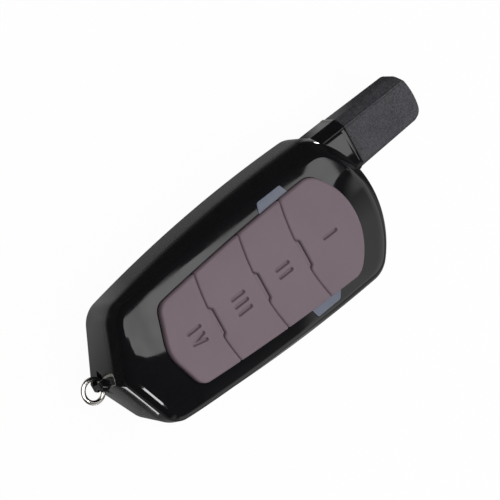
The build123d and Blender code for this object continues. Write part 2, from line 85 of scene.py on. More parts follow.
# The front cover's soft forms
SIDE_CURVE_END = 12.6                        # height where the curve of the side runs out
CROWN_RADIUS = 140.0                         # the panel and the keys are crowned across
NOSE_START, NOSE_RADIUS = -24.0, 55.0        # the panel falls away towards the foot
# The panel's edge is rounder at the foot's right and the head's right, where it also falls away. Each
# stretch has the place where it begins and the width over which it comes in.
NOSE_ROUND, HEAD_ROUND, HEAD_DROP = 3.4, 3.6, 0.9
SOFT_ACROSS, SOFT_FOOT, SOFT_HEAD = (-8.0, 6.0), (31.0, 3.0), (2.0, 12.0)
PANEL_INSET, OPENING_SHARE = 2.2, 0.93       # where the rounding aims, and its share of the head's opening

# Lines between the keys and the numerals sunk in them
SPLIT_HEIGHTS = (10.1, -1.75, -14.6)
SPLIT_RADIUS = 41.3
KEY_GAP, KEY_TO_PANEL = 0.015, 0.06
KEY_CORNER, TAB_CORNER = 0.55, 0.3
MARK_SHIFT = 0.6                             # tabs and numerals stand right of the centre line
TAB_RISE, TAB_WIDTH, TAB_SLOPE = 1.0, 7.4, 0.9
NUMERAL_HEIGHTS = (17.9, 4.8, -7.3, -19.7)
STROKE_PITCH, STROKE_LENGTH, GROOVE_WIDTH = 1.7, 4.1, 0.95
VEE_PLACE, VEE_LEAN, VEE_FOOT = 0.7, 0.75, 0.06
EDGE_SLOPE = 0.8                             # the edge's fall in shares of its radius
GROOVE_RAMP = 0.34                           # width of a groove's sloping side
TAB_RAMP, TAB_SIDE = (0.15, 0.35), (0.45, 0.5)         # a tab's ramp along and across: start and width
SWITCH_HEIGHTS = (17.0, 4.2, -8.2, -20.5)
LUG_HEIGHTS = (17.6, 2.0, -8.0, -19.5)
LUG_HALF, LUG_LENGTH, LUG_REACH, LUG_THICK = 1.5, 1.6, 0.45, 0.8
POCKET_HALF, POCKET_ROUND, POCKET_ROOF = (6.0, 3.2), 1.0, 1.2
KEY_POST_RADIUS, KEY_POST_ROOF = 1.0, 1.1

# Meshing of the keys: spacing along the edge, a fine and a coarse lattice, and where the fine one is used
EDGE_SPACING, FINE, COARSE = 0.22, 0.11, 0.42
FINE_BAND, COARSE_BAND = (-0.42, 0.26), (-0.48, 0.34)
FINE_TAB, COARSE_TAB = (0.7, 0.9), (0.8, 1.0)
FINE_MARGIN, COARSE_MARGIN = 0.05, 0.15
RAYS, RAY_LENGTH, MIDDLE_LIFT = 2400, 30.0, 1.5        # rays that find a key's edge, from above its middle
HALVINGS = 34                                # steps that halve a ray's stretch
GUARD_DEPTH = 0.05                           # height of the strip under the edge that keeps it crisp
EDGE_ROWS, ROW_SLACK = 7, (0.25, 0.004)      # rows over the edge, and how far a point may leave its row
ROW_PITCH = 0.866                            # distance of a lattice's rows in shares of its pitch

# Windows: corners from the foot with their radii, the height over the cover, the edge's size and the degrees
# from which an edge is rounded, and the leg's place and size
WINDOW_CORNERS = ((11.0, 6.4, 0.02), (13.7, 7.4, 0.55), (13.7, 14.0, 0.55), (11.0, 15.0, 0.02))
WINDOW_PROUD, WINDOW_EDGE, SHARP_ANGLE = 0.15, 0.08, 40.0
LEG_PLACE, LEG_HALF, LEG_ENDS, LEG_FOOT = 12.7, 0.5, (9.2, 12.2), 10.0

# Screws with their posts, wells and bosses
SCREW_PLACES = ((13.1, 22.4), (-13.1, 22.4), (0.0, -33.0))
POST_RADIUS, POST_FOOT, POST_TOP = 2.35, 0.5, 2.6
WELL_RINGS = ((1.85, -0.3), (1.55, 0.12), (1.55, 1.1))
HOLE_RADIUS, HOLE_TOP = 0.9, 3.0
BOSS_RADIUS, BOSS_TOP, BOSS_HOLE = 1.7, 12.0, (1.0, 8.7)
SCREW_HEAD = ((0.9, 0.2), (1.2, 0.23), (1.38, 0.33), (1.47, 0.5),
              (1.5, 0.7), (1.5, 1.04), (1.46, 1.1), (0.8, 1.1))
SCREW_CORE, SCREW_CREST, SCREW_PITCH, SCREW_THREAD = 0.7, 0.85, 0.3, (1.3, 6.7)
SCREW_FLANK, SCREW_POINT = 0.13, ((0.7, 6.75), (0.35, 7.1))
CROSS, CROSS_TAPER, CROSS_DEPTH = (0.9, 0.22), (0.62, 0.8), 0.68

# Where the ring's butt joint lies, in degrees round it
JOINT_PLACE = 205.0

# Solid tip with the eye for the ring: two plates and a bar between them
TIP_BLOCK = -35.2
EYE_PLACE, EYE_FLOOR, EYE_ROOF, EYE_PLATE, EYE_SLOT_BACK = -38.75, 3.0, 4.8, 0.8, -36.8
PLATE_HALF, PLATE_FRONT, PLATE_MIDDLE, PLATE_ROUNDS, PLATE_EDGE = 1.3, 0.4, 0.6, (0.6, 0.1), 0.2
SLOT_HALF, SLOT_FRONT, SLOT_ROUND = 5.0, -42.0, 0.1
BAR_HALF, BAR_ROUND = (0.6, 0.35), 0.34

# Cell's well, and the switches' plungers
CELL_PLACE, CELL_SPACE, WELL_WALL, WELL_FOOT, WELL_TOP, CELL_ROOF = -8.0, 12.5, 1.0, 1.4, 5.0, 7.0
CONTACT_HALF = 2.75
PLUNGER_TOP = 11.4

# Aerial: the neck, its spigot and the cap, in sections of (across, height above the middle, corner radius)
NECK_CENTRE, NECK_MIDDLE, NECK_ROOT, NECK_END, CAP_END = -9.6, 6.75, 24.0, 35.4, 53.4
NECK_HALF, NECK_RISE = 5.85, 3.75            # half width and half height
NECK_CORNERS = ((5.3, -3.75), (5.85, -2.85), (5.85, 1.45), (4.3, 3.75))
SEAM_RISE = PARTING - NECK_MIDDLE
SEAM_POINT = (NECK_CORNERS[2][0], SEAM_RISE, 0.12)
NECK_FOOT_ROUNDS, CAP_FOOT_ROUNDS, CAP_EDGE_ROUND = (0.35, 0.5), (0.5, 0.6, 1.8), 2.4
SPIGOT_TOP = [(4.6, SEAM_RISE, 0.05), (4.3, 1.7, 0.05), (3.4, 2.4, 0.1)]
SPIGOT_FOOT = [(3.9, -2.4, 0.2), (4.6, -1.6, 0.2), (4.6, SEAM_RISE, 0.05)]
SPIGOT_STEPS = ((NECK_END - 1, 0.0), (39.9, 0.0), (40.2, -0.2))
CHANNEL_HALF, CHANNEL_FLOOR, CHANNEL_END = 3.6, 5.2, 41.0
LONGEST_SIDE = 0.5
# The bead on the edge: places in bead widths from it, one where sunk, and a share of its fine rounding
BEAD_CHAMFER = ((2.6, 0, 2), (2.1, 1, 1), (1.5, 1, 1), (1.1, 0, 1))
BEAD_FACE = ((1.1, 0, 1), (1.4, 1, 1), (1.8, 1, 1), (2.3, 0, 2))
BEAD_FINE, BEAD_ROUND = 0.05, 0.9
# The collar: places from its foot with shares of its height, and places from its end with changes of height
COLLAR_FOOT = ((-0.12, 0.0), (-0.04, 0.5), (0.0, 0.7), (0.06, 1.0))
COLLAR_EDGE = ((-0.1, 0.0), (-0.03, -0.03), (0.0, -0.1))
COLLAR_CLEAR = 0.3
CAP_INSET, CAP_WALL, CAP_CROWN, CAP_TIP_SCALE, CAP_LEAN = 0.15, 1.25, 1.3, 0.93, 0.35
CAP_BORE_END, CAP_BORE_TAPER, CAP_BORE_START = 50.0, 0.86, 0.15
CAP_MOUTH = ((0.96, 0.02), (0.988, 0.02), (0.998, 0.07))     # the rings at the joint: scales and places
CAP_FIRST, CAP_DOME, CAP_DOME_SCALE = 0.006, (0.8, 0.5, 0.25, 0.02), 0.93
CAP_RINGS, CAP_END_RINGS = 25, 8             # rings along the sleeve and round its end


# Outlines

def circle_through(first, second, third):
    """Centre and radius of the circle through three points."""
    (ax, ay), (bx, by), (cx, cy) = first, second, third
    twice = 2 * (ax * (by - cy) + bx * (cy - ay) + cx * (ay - by))
    a2, b2, c2 = ax ** 2 + ay ** 2, bx ** 2 + by ** 2, cx ** 2 + cy ** 2
    x = (a2 * (by - cy) + b2 * (cy - ay) + c2 * (ay - by)) / twice
    y = (a2 * (cx - bx) + b2 * (ax - cx) + c2 * (bx - ax)) / twice
    return np.array((x, y)), math.hypot(ax - x, ay - y)


def inset_corners(points, inset):
    """Tip, foot corner and head corner of half an outline moved inwards by an even distance."""
    tip, foot, wide, head, top = points
    slope = np.array((foot[0], foot[1] - tip))
    slope = slope / np.linalg.norm(slope)
    side_centre, side_radius = circle_through(foot, wide, head)
    crown_centre, crown_radius = circle_through(head, (0, top), (-head[0], head[1]))
    new_tip = np.array((0.0, tip + inset / slope[0]))
    back = new_tip - side_centre
    along = back @ slope
    new_foot = new_tip + slope * (math.sqrt(along ** 2 - back @ back + (side_radius - inset) ** 2) - along)
    apart = crown_centre - side_centre
    distance = np.linalg.norm(apart)
    share = ((side_radius - inset) ** 2 - (crown_radius - inset) ** 2 + distance ** 2) / (2 * distance)
    across = np.array((-apart[1], apart[0])) / distance * math.sqrt((side_radius - inset) ** 2 - share ** 2)
    meet = side_centre + apart / distance * share
    new_head = max((meet + across, meet - across), key=lambda p: p[1])
    return new_tip, new_foot, new_head


def arc(centre, radius, start, end, steps):
    """Points and outward normals along an arc, anticlockwise, without the last."""
    low, high = math.atan2(start[1], start[0]), math.atan2(end[1], end[0])
    angles = low + (high - low) * np.arange(steps) / steps
    normals = np.stack((np.cos(angles), np.sin(angles)), axis=1)
    return centre + normals * radius, normals


def outline(points, rounds):
    """Points and outward normals of a whole outline, anticlockwise from the tip."""
    tip, foot, wide, head, top = points
    steps = OUTLINE_STEPS
    slope = np.array((foot[0], foot[1] - tip))
    slope = slope / np.linalg.norm(slope)
    down, line_normal, up = np.array((0.0, -1.0)), np.array((slope[1], -slope[0])), np.array((0.0, 1.0))
    side_centre, side_radius = circle_through(foot, wide, head)
    crown_centre, crown_radius = circle_through(head, (0, top), (-head[0], head[1]))
    tip_centre = inset_corners(points, rounds[0])[0]
    foot_centre = inset_corners(points, rounds[1])[1]
    head_centre = inset_corners(points, rounds[2])[2]
    to_foot, to_head = foot_centre - side_centre, head_centre - side_centre
    from_crown = head_centre - crown_centre
    line_start, line_end = tip_centre + line_normal * rounds[0], foot_centre + line_normal * rounds[1]
    shares = np.arange(steps[1])[:, None] / steps[1]
    chain = [
        arc(tip_centre, rounds[0], down, line_normal, steps[0]),
        (line_start + (line_end - line_start) * shares, np.repeat(line_normal[None], steps[1], axis=0)),
        arc(foot_centre, rounds[1], line_normal, to_foot, steps[2]),
        arc(side_centre, side_radius, to_foot, to_head, steps[3]),
        arc(head_centre, rounds[2], to_head, from_crown, steps[4]),
        arc(crown_centre, crown_radius, from_crown, up, steps[5]),
    ]
    places = np.concatenate([piece[0] for piece in chain])
    normals = np.concatenate([piece[1] for piece in chain])
    flip = np.array((-1.0, 1.0))
    places = np.concatenate((places, [(0.0, top)], places[:0:-1] * flip))
    normals = np.concatenate((normals, [up], normals[:0:-1] * flip))
    return places, normals


BASE_LINE, RIM_LINE, PANEL_LINE = (
    outline(*given) for given in ((BASE, BODY_ROUNDS), (RIM, BODY_ROUNDS), (PANEL, PANEL_ROUNDS)))
PAD_LINE = outline(PAD, PAD_ROUNDS)


def flat_ring(plan, height):
    """A plan as a ring at a height."""
    return np.column_stack((plan, np.full(len(plan), height)))


def level(line, height, inset=0.0):
    """A ring of an outline at a height."""
    places, normals = line
    return flat_ring(places - normals * inset, height)


def wall(height, inset=0.0):
    """A ring of the side wall or of the band above it."""
    if height <= SHOULDER:
        share = (height - BACK_EDGE) / (SHOULDER - BACK_EDGE)
        low, high = BASE_LINE, RIM_LINE
    else:
        share = (height - SHOULDER) / (PANEL_TOP - SHOULDER)
        low, high = RIM_LINE, PANEL_LINE
    ring = level(low, 0, inset) * (1 - share) + level(high, 0, inset) * share
    ring[:, 2] = height
    return ring


def bent(start, corner, end, weight, steps):
    """Points or rings along the arc between two ends whose tangents meet at the corner."""
    made = []
    for step in range(steps + 1):
        t = step / steps
        total = (1 - t) ** 2 + 2 * weight * t * (1 - t) + t ** 2
        made.append(((1 - t) ** 2 * start + 2 * weight * t * (1 - t) * corner + t ** 2 * end) / total)
    return made


def rounded(before, corner, after, radius, steps):
    """Rings that round the corner between two walls, with a guard ring beyond each end."""
    back, ahead = before - corner, after - corner
    back_length = np.linalg.norm(back, axis=1, keepdims=True)
    ahead_length = np.linalg.norm(ahead, axis=1, keepdims=True)
    back, ahead = back / back_length, ahead / ahead_length
    turn = math.pi - np.arccos(np.clip((back * ahead).sum(axis=1, keepdims=True), -1, 1))
    reach = np.minimum(radius * np.tan(turn / 2), WALL_REACH * np.minimum(back_length, ahead_length))
    start, end = corner + back * reach, corner + ahead * reach
    return [start + back * np.minimum(GUARD, (back_length - reach) / 2),
            *bent(start, corner, end, np.cos(turn / 2), steps),
            end + ahead * np.minimum(GUARD, (ahead_length - reach) / 2)]


def between(first, last, count):
    """Rings spaced evenly between two rings, without them."""
    return [first + (last - first) * step / (count + 1) for step in range(1, count + 1)]


# Meshes

def mesh_from(name, vertices, faces):
    """A mesh object at the origin from points in millimetres."""
    mesh = bpy.data.meshes.new(name)
    mesh.from_pydata([tuple(float(c) * MM for c in v) for v in vertices], [], faces)
    mesh.validate()
    made = bpy.data.objects.new(name, mesh)
    bpy.context.scene.collection.objects.link(made)
    return made


def close_up(work, made):
    """Point the faces of a closed mesh outwards and write it to its object."""
    bmesh.ops.recalc_face_normals(work, faces=work.faces)
    if work.calc_volume(signed=True) < 0:
        bmesh.ops.reverse_faces(work, faces=work.faces)
    work.to_mesh(made.data)
    work.free()


def skin(name, rings, closed=False):
    """Quads between rings of points. Closed joins the last ring to the first, and open ends are filled."""
    count = len(rings[0])
    faces = []
    for row in range(len(rings) if closed else len(rings) - 1):
        low, high = row * count, (row + 1) % len(rings) * count
        for column in range(count):
            beside = (column + 1) % count
            faces.append((low + column, low + beside, high + beside, high + column))
    if not closed:
        faces.append(tuple(range(count))[::-1])
        faces.append(tuple(range((len(rings) - 1) * count, len(rings) * count)))
    made = mesh_from(name, np.concatenate(rings), faces)
    work = bmesh.new()
    work.from_mesh(made.data)
    bmesh.ops.remove_doubles(work, verts=work.verts, dist=MERGE)
    bmesh.ops.dissolve_degenerate(work, edges=work.edges, dist=MERGE)
    close_up(work, made)
    return made


def prism(name, corners, low, high):
    """An upright prism from a plan."""
    return skin(name, [flat_ring(np.array(corners, dtype=float), height) for height in (low, high)])


def block(name, low, high):
    """A plain block between two corners."""
    (x0, y0, z0), (x1, y1, z1) = low, high
    return prism(name, ((x0, y0), (x1, y0), (x1, y1), (x0, y1)), z0, z1)


def disc(centre, radius, steps=48):
    """Points of a circle in plan."""
    angles = np.arange(steps) * 2 * math.pi / steps
    return [(centre[0] + radius * math.cos(a), centre[1] + radius * math.sin(a)) for a in angles]


def rod(name, centre, radius, low, high, steps=48):
    """An upright round bar."""
    return prism(name, disc(centre, radius, steps), low, high)


def apply_modifiers(made, step):
    """Give an object the mesh that its modifiers make of it."""
    bpy.context.view_layer.update()
    result = bpy.data.meshes.new_from_object(made.evaluated_get(bpy.context.evaluated_depsgraph_get()))
    if not result.polygons:
        raise RuntimeError(f"{made.name} came out empty after {step}")
    made.modifiers.clear()
    made.data = result


def combine(target, other, operation):
    """Join, cut or intersect two closed meshes, and drop the second."""
    change = target.modifiers.new("combine", "BOOLEAN")
    change.operation, change.object, change.solver = operation, other, "MANIFOLD"
    apply_modifiers(target, f"{operation} with {other.name}")
    bpy.data.objects.remove(other)


def join(target, other):
    """Join a second closed mesh to the first."""
    combine(target, other, "UNION")


def cut(target, other):
    """Cut a second closed mesh out of the first."""
    combine(target, other, "DIFFERENCE")


def finish_piece(piece, finish, body, nodes, sharp=32):
    """Shade a piece, dress it and tie it to its body."""
    mesh = piece.data
    mesh.name = piece.name
    mesh.materials.clear()
    mesh.materials.append(bpy.data.materials[finish])
    for face in mesh.polygons:
        face.material_index = 0
    mesh.shade_smooth()
    mesh.set_sharp_from_angle(angle=math.radians(sharp))
    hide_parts(*nodes)
    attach(piece, body)


# Neck and cap sections, in the plane square to the aerial

def polygon_rounds(corners, steps=5):
    """Points of a closed polygon whose corners are (across, up, radius)."""
    ring = []
    count = len(corners)
    for index in range(count):
        here = np.array(corners[index][:2])
        radius = corners[index][2]
        before = np.array(corners[index - 1][:2]) - here
        ahead = np.array(corners[(index + 1) % count][:2]) - here
        back_length, ahead_length = np.linalg.norm(before), np.linalg.norm(ahead)
        before, ahead = before / back_length, ahead / ahead_length
        turn = math.pi - math.acos(max(-1.0, min(1.0, before @ ahead)))
        reach = min(radius * math.tan(turn / 2), CORNER_REACH * min(back_length, ahead_length))
        ring += bent(here + before * reach, here, here + ahead * reach, math.cos(turn / 2), steps)
    return np.array(ring)


def rounded_box(low, high, near_round, far_round=None, steps=5):
    """Plan of a box between two corners, with its near and its far corners rounded."""
    (x0, y0), (x1, y1) = low, high
    far = near_round if far_round is None else far_round
    return polygon_rounds([(x0, y0, near_round), (x1, y0, near_round), (x1, y1, far), (x0, y1, far)], steps)


def filled(ring):
    """The same closed line with points added on its long sides."""
    made = []
    for here, ahead in zip(ring, np.roll(ring, -1, axis=0)):
        parts = max(1, math.ceil(np.linalg.norm(ahead - here) / LONGEST_SIDE))
        made += [here + (ahead - here) * part / parts for part in range(parts)]
    return np.array(made)


def along(start, end, distance, out):
    """A point part of the way along a side, moved outwards to the right of it."""
    start, end = np.array(start, dtype=float), np.array(end, dtype=float)
    unit = (end - start) / np.linalg.norm(end - start)
    side = np.array((unit[1], -unit[0]))
    return tuple(start + unit * distance + side * out)


def bead_corners(settings):
    """The chamfer and front face of the right side, with a fine bead on the edge between two grooves."""
    low, high = NECK_CORNERS[2:]
    left = (-high[0], high[1])
    depth, width = settings.bead_depth / MM, settings.bead_width / MM
    chamfer = [(*along(low, high, math.dist(low, high) - place * width, -depth * sunk), BEAD_FINE * share)
               for place, sunk, share in BEAD_CHAMFER]
    face = [(*along(high, left, place * width, -depth * sunk), BEAD_FINE * share)
            for place, sunk, share in BEAD_FACE]
    return [*chamfer, (*high, width * BEAD_ROUND), *face]


def mirrored(corners):
    """The same corners on the left, in running order."""
    return [(-x, z, radius) for x, z, radius in reversed(corners)]


def section_rings(ring, steps):
    """Rings of one section along the aerial, from pairs of a place and how far the ring moves out or in."""
    rings = []
    for place, out in steps:
        flat = ring * np.array((1 + out / NECK_HALF, 1 + out / NECK_RISE))
        rings.append(np.column_stack((
            NECK_CENTRE + flat[:, 0], np.full(len(flat), place), NECK_MIDDLE + flat[:, 1])))
    return rings


def neck_half(name, right, settings):
    """One half of the neck with its collar and rounded end, from the corners of its right side."""
    collar = settings.collar_proud / MM
    start = NECK_END - settings.collar_length / MM
    steps = [(place, 0.0) for place in np.arange(NECK_ROOT, start - COLLAR_CLEAR, LONGEST_SIDE)]
    steps += [(start + place, collar * share) for place, share in COLLAR_FOOT]
    steps += [(NECK_END + place, collar + change) for place, change in COLLAR_EDGE]
    return skin(name, section_rings(filled(polygon_rounds([*right, *mirrored(right)])), steps))


def spigot(name, right):
    """One half of the spigot that the cap sits on, from the corners of its right side."""
    return skin(name, section_rings(polygon_rounds([*right, *mirrored(right)]), SPIGOT_STEPS))


def before_tip(rings):
    """The same rings cut square before the solid tip."""
    for ring in rings:
        ring[:, 1] = np.maximum(ring[:, 1], TIP_BLOCK)
    return rings


def cavity(low, high, inset):
    """Closed form of the space inside the covers."""
    heights = (low, *([SHOULDER] if low < SHOULDER < high else []), high)
    return skin("space", before_tip([wall(height, inset) for height in heights]))


def bowed_side(settings):
    """The outer side, where the wall and the band above it meet in one long curve: a ring for any height."""
    low, rim, high = wall(BACK_WALL + 1), wall(SHOULDER), wall(SIDE_CURVE_END)
    curve = rounded(low, rim, high, settings.shoulder_round / MM, SIDE_STEPS)
    rings = [wall(BACK_EDGE), low, *curve, wall(PANEL_TOP)]
    columns = np.array(rings).transpose(1, 0, 2)

    def ring_at(height):
        return np.array([[np.interp(height, column[:, 2], column[:, axis]) for axis in (0, 1)] + [height]
                         for column in columns])
    return ring_at


def rounded_slab(plan, middle, low, high, radius, steps=4):
    """Rings of an upright prism whose flat faces meet its side in a radius."""
    middle = np.array(middle)
    half = np.abs(plan - middle).max()
    rings = []
    for step in range(steps + 1):
        angle = step / steps * math.pi / 2
        scale = 1 - radius * (1 - math.sin(angle)) / half
        rings.append(flat_ring(middle + (plan - middle) * scale, low + radius * (1 - math.cos(angle))))
    return rings + [ring * (1, 1, -1) + (0, 0, low + high) for ring in reversed(rings)]


# Covers

def fall(points):
    """How far the crown across the panel and the slope to the foot lower points of it."""
    nose = np.maximum(NOSE_START - points[:, 1], 0)
    return points[:, 0] ** 2 / (2 * CROWN_RADIUS) + nose ** 2 / (2 * NOSE_RADIUS)


def crowned(ring):
    """A ring of the front cover, lowered more the nearer it is to the panel's height."""
    share = np.clip((ring[:, 2] - PARTING) / (PANEL_TOP - PARTING), 0, 1)
    return np.column_stack((ring[:, :2], ring[:, 2] - fall(ring) * share))


def cover_rings(settings):
    """Outer rings of the front cover, from the parting to the edge of the key opening."""
    side = bowed_side(settings)
    panel = wall(PANEL_TOP)
    opening = level(PAD_LINE, PANEL_TOP, -KEY_TO_PANEL)
    deep = level(PAD_LINE, PANEL_FLOOR, -KEY_TO_PANEL)
    band_end = PARTING + SEAM_BAND
    rings = rounded(wall(PARTING, SEAM_INSET), side(PARTING), side(band_end), settings.seam_round / MM, 3)
    rings += [side(height) for height in np.linspace(band_end + NEXT_RING, SIDE_CURVE_END, SIDE_RINGS)]
    on_right = smooth_step((panel[:, :1] - SOFT_ACROSS[0]) / SOFT_ACROSS[1])
    at_foot = on_right * smooth_step((-SOFT_FOOT[0] - panel[:, 1:2]) / SOFT_FOOT[1])
    at_head = on_right * smooth_step((panel[:, 1:2] - SOFT_HEAD[0]) / SOFT_HEAD[1])
    panel[:, 2:] -= HEAD_DROP * at_head
    head_inner = opening * OPENING_SHARE + panel * (1 - OPENING_SHARE)
    inner = level(PANEL_LINE, PANEL_TOP, PANEL_INSET) * (1 - at_head) + head_inner * at_head
    plain = settings.panel_round / MM * (1 - at_foot - at_head)
    edge_round = plain + NOSE_ROUND * at_foot + HEAD_ROUND * at_head
    rings += rounded(side(SIDE_CURVE_END + NEXT_RING), panel, inner, edge_round, PANEL_STEPS)
    rings += between(rings[-1], opening, PANEL_RINGS)
    rings += rounded(rings[-1], opening, deep, settings.opening_round / MM, OPENING_STEPS)
    return [crowned(ring) for ring in rings]


def make_front_cover(settings, aerial):
    """Front cover as one closed shell with the neck's upper half and the window openings."""
    rings = cover_rings(settings)
    rings += [crowned(level(PAD_LINE, PANEL_FLOOR, -KEY_TO_PANEL)), crowned(wall(PANEL_FLOOR, ROOF_WALL))]
    rings += [wall(SHOULDER, SIDE_WALL), wall(PARTING + LIP_HEIGHT, SIDE_WALL),
              wall(PARTING + LIP_HEIGHT, LIP_WALL), wall(PARTING, LIP_WALL)]
    shell = skin("front_cover_shell", rings, closed=True)
    neck = neck_half("neck_top", [SEAM_POINT, *bead_corners(aerial)], aerial)
    cut(neck, cavity(PARTING - 1, PANEL_FLOOR, SIDE_WALL))
    join(shell, neck)
    join(shell, spigot("spigot_top", SPIGOT_TOP))
    for side in (-1, 1):
        cut(shell, prism("window_opening", window_plan(side, SEAT_GAP), SHOULDER + 1, KEY_TOP))
    for place in SCREW_PLACES[:2]:
        boss = rod("boss", place, BOSS_RADIUS, POST_TOP, BOSS_TOP)
        cut(boss, rod("boss_hole", place, HOLE_RADIUS, *BOSS_HOLE, 24))
        join(shell, boss)
    return shell


def window_plan(side, grow):
    """Plan of a window, anticlockwise, with its outer corners rounded."""
    corners = [(x + dx * grow, y + dy * grow, size)
               for (x, y, size), (dx, dy) in zip(WINDOW_CORNERS, SQUARE)]
    ring = polygon_rounds(corners, 8)
    return ring if side > 0 else ring[::-1] * np.array((-1.0, 1.0))


def make_window(side, settings):
    """A window: the cover's own form lifted a little and cut to the window's plan, with its leg."""
    rings = cover_rings(settings)[:-OPENING_STEPS - 2]
    lifted = [ring + (0.0, 0.0, WINDOW_PROUD) for ring in rings if ring[:, 2].min() > SHOULDER - 1]
    body = skin("window_form", lifted)
    combine(body, prism("window_cutter", window_plan(side, -SEAT_GAP), SHOULDER + 1.5, KEY_TOP), "INTERSECT")
    cut(body, prism("opening_form", level(PAD_LINE, 0, -KEY_TO_PANEL)[:, :2], SHOULDER, KEY_TOP + 1))
    cut(body, cavity(PARTING, PANEL_FLOOR, SIDE_WALL))
    middle = side * LEG_PLACE
    join(body, block("leg", (middle - LEG_HALF, LEG_ENDS[0], LEG_FOOT),
                     (middle + LEG_HALF, LEG_ENDS[1], PANEL_FLOOR + NEXT_RING)))
    bevel = body.modifiers.new("edge", "BEVEL")
    bevel.width, bevel.segments, bevel.angle_limit = WINDOW_EDGE * MM, 2, math.radians(SHARP_ANGLE)
    bevel.limit_method = "ANGLE"
    body.name = "window_right_lens" if side > 0 else "window_left_lens"
    return body


def make_back_cover(settings, aerial):
    """Back cover as one closed tray with the neck's lower half, screw wells and the eye for the ring."""
    floor = level(BASE_LINE, 0, BACK_EDGE + 1)
    foot, edge = level(BASE_LINE, 0, BACK_EDGE), level(BASE_LINE, BACK_EDGE)
    side = bowed_side(settings)
    band_start = PARTING - SEAM_BAND
    rings = rounded(floor, foot, edge, BACK_ROUND, 4)
    rings += rounded(foot + (edge - foot) * BACK_SHARE, edge, side(SIDE_START), BACK_ROUND, 4)
    heights = np.linspace(SIDE_START + 2 * NEXT_RING, band_start - NEXT_RING, BACK_RINGS)
    rings += [side(height) for height in heights]
    rings += rounded(side(band_start), side(PARTING), wall(PARTING, SEAM_INSET), settings.seam_round / MM, 3)
    lip, lip_top = LIP_WALL + SEAT_GAP, PARTING + LIP_HEIGHT
    inner = [wall(PARTING, lip), wall(lip_top, lip), wall(lip_top, SIDE_WALL), wall(PARTING, SIDE_WALL)]
    tray = skin("back_cover_tray", rings + before_tip([*inner, wall(BACK_WALL, SIDE_WALL)]))
    right = [(*corner, size) for corner, size in zip(NECK_CORNERS, NECK_FOOT_ROUNDS)]
    neck = neck_half("neck_foot", [*right, SEAM_POINT], aerial)
    cut(neck, cavity(BACK_WALL, PARTING + 1, SIDE_WALL))
    join(tray, neck)
    join(tray, spigot("spigot_foot", SPIGOT_FOOT))
    cut(tray, block("channel", (NECK_CENTRE - CHANNEL_HALF, NECK_ROOT, CHANNEL_FLOOR),
                    (NECK_CENTRE + CHANNEL_HALF, CHANNEL_END, PARTING + 1)))
    for place in SCREW_PLACES:
        join(tray, rod("screw_post", place, POST_RADIUS, POST_FOOT, POST_TOP))
        cut(tray, skin("well", [flat_ring(disc(place, radius), height) for radius, height in WELL_RINGS]))
        cut(tray, rod("screw_hole", place, HOLE_RADIUS, -1.0, HOLE_TOP, 24))
    cell = (0.0, CELL_PLACE)
    join(tray, rod("cell_well", cell, CELL_SPACE + WELL_WALL, WELL_FOOT, WELL_TOP, 96))
    cut(tray, rod("cell_space", cell, CELL_SPACE, BACK_WALL, CELL_ROOF, 96))
    cut(tray, block("contact_space", (0, CELL_PLACE - CONTACT_HALF, BACK_WALL),
                    (CELL_SPACE + WELL_WALL, CELL_PLACE + CONTACT_HALF, PARTING)))
    add_eye(tray)
    return tray


def add_eye(tray):
    """The two plates, the slot between them and the bar that the ring hangs on."""
    front = EYE_PLACE - PLATE_FRONT
    plate = rounded_box((-PLATE_HALF, front), (PLATE_HALF, TIP_BLOCK), *PLATE_ROUNDS, steps=8)
    middle, low, high = (0, EYE_PLACE + PLATE_MIDDLE), EYE_FLOOR - EYE_PLATE, EYE_ROOF + EYE_PLATE
    join(tray, skin("eye_plates", rounded_slab(plate, middle, low, high, PLATE_EDGE)))
    slot = rounded_box((-SLOT_HALF, SLOT_FRONT), (SLOT_HALF, EYE_SLOT_BACK), SLOT_ROUND)
    cut(tray, prism("eye_slot", slot, EYE_FLOOR, EYE_ROOF))
    wide, deep = BAR_HALF
    bar = rounded_box((-wide, EYE_PLACE - deep), (wide, EYE_PLACE + deep), BAR_ROUND, steps=6)
    join(tray, prism("eye_bar", bar, EYE_FLOOR - OVERLAP, EYE_ROOF + OVERLAP))


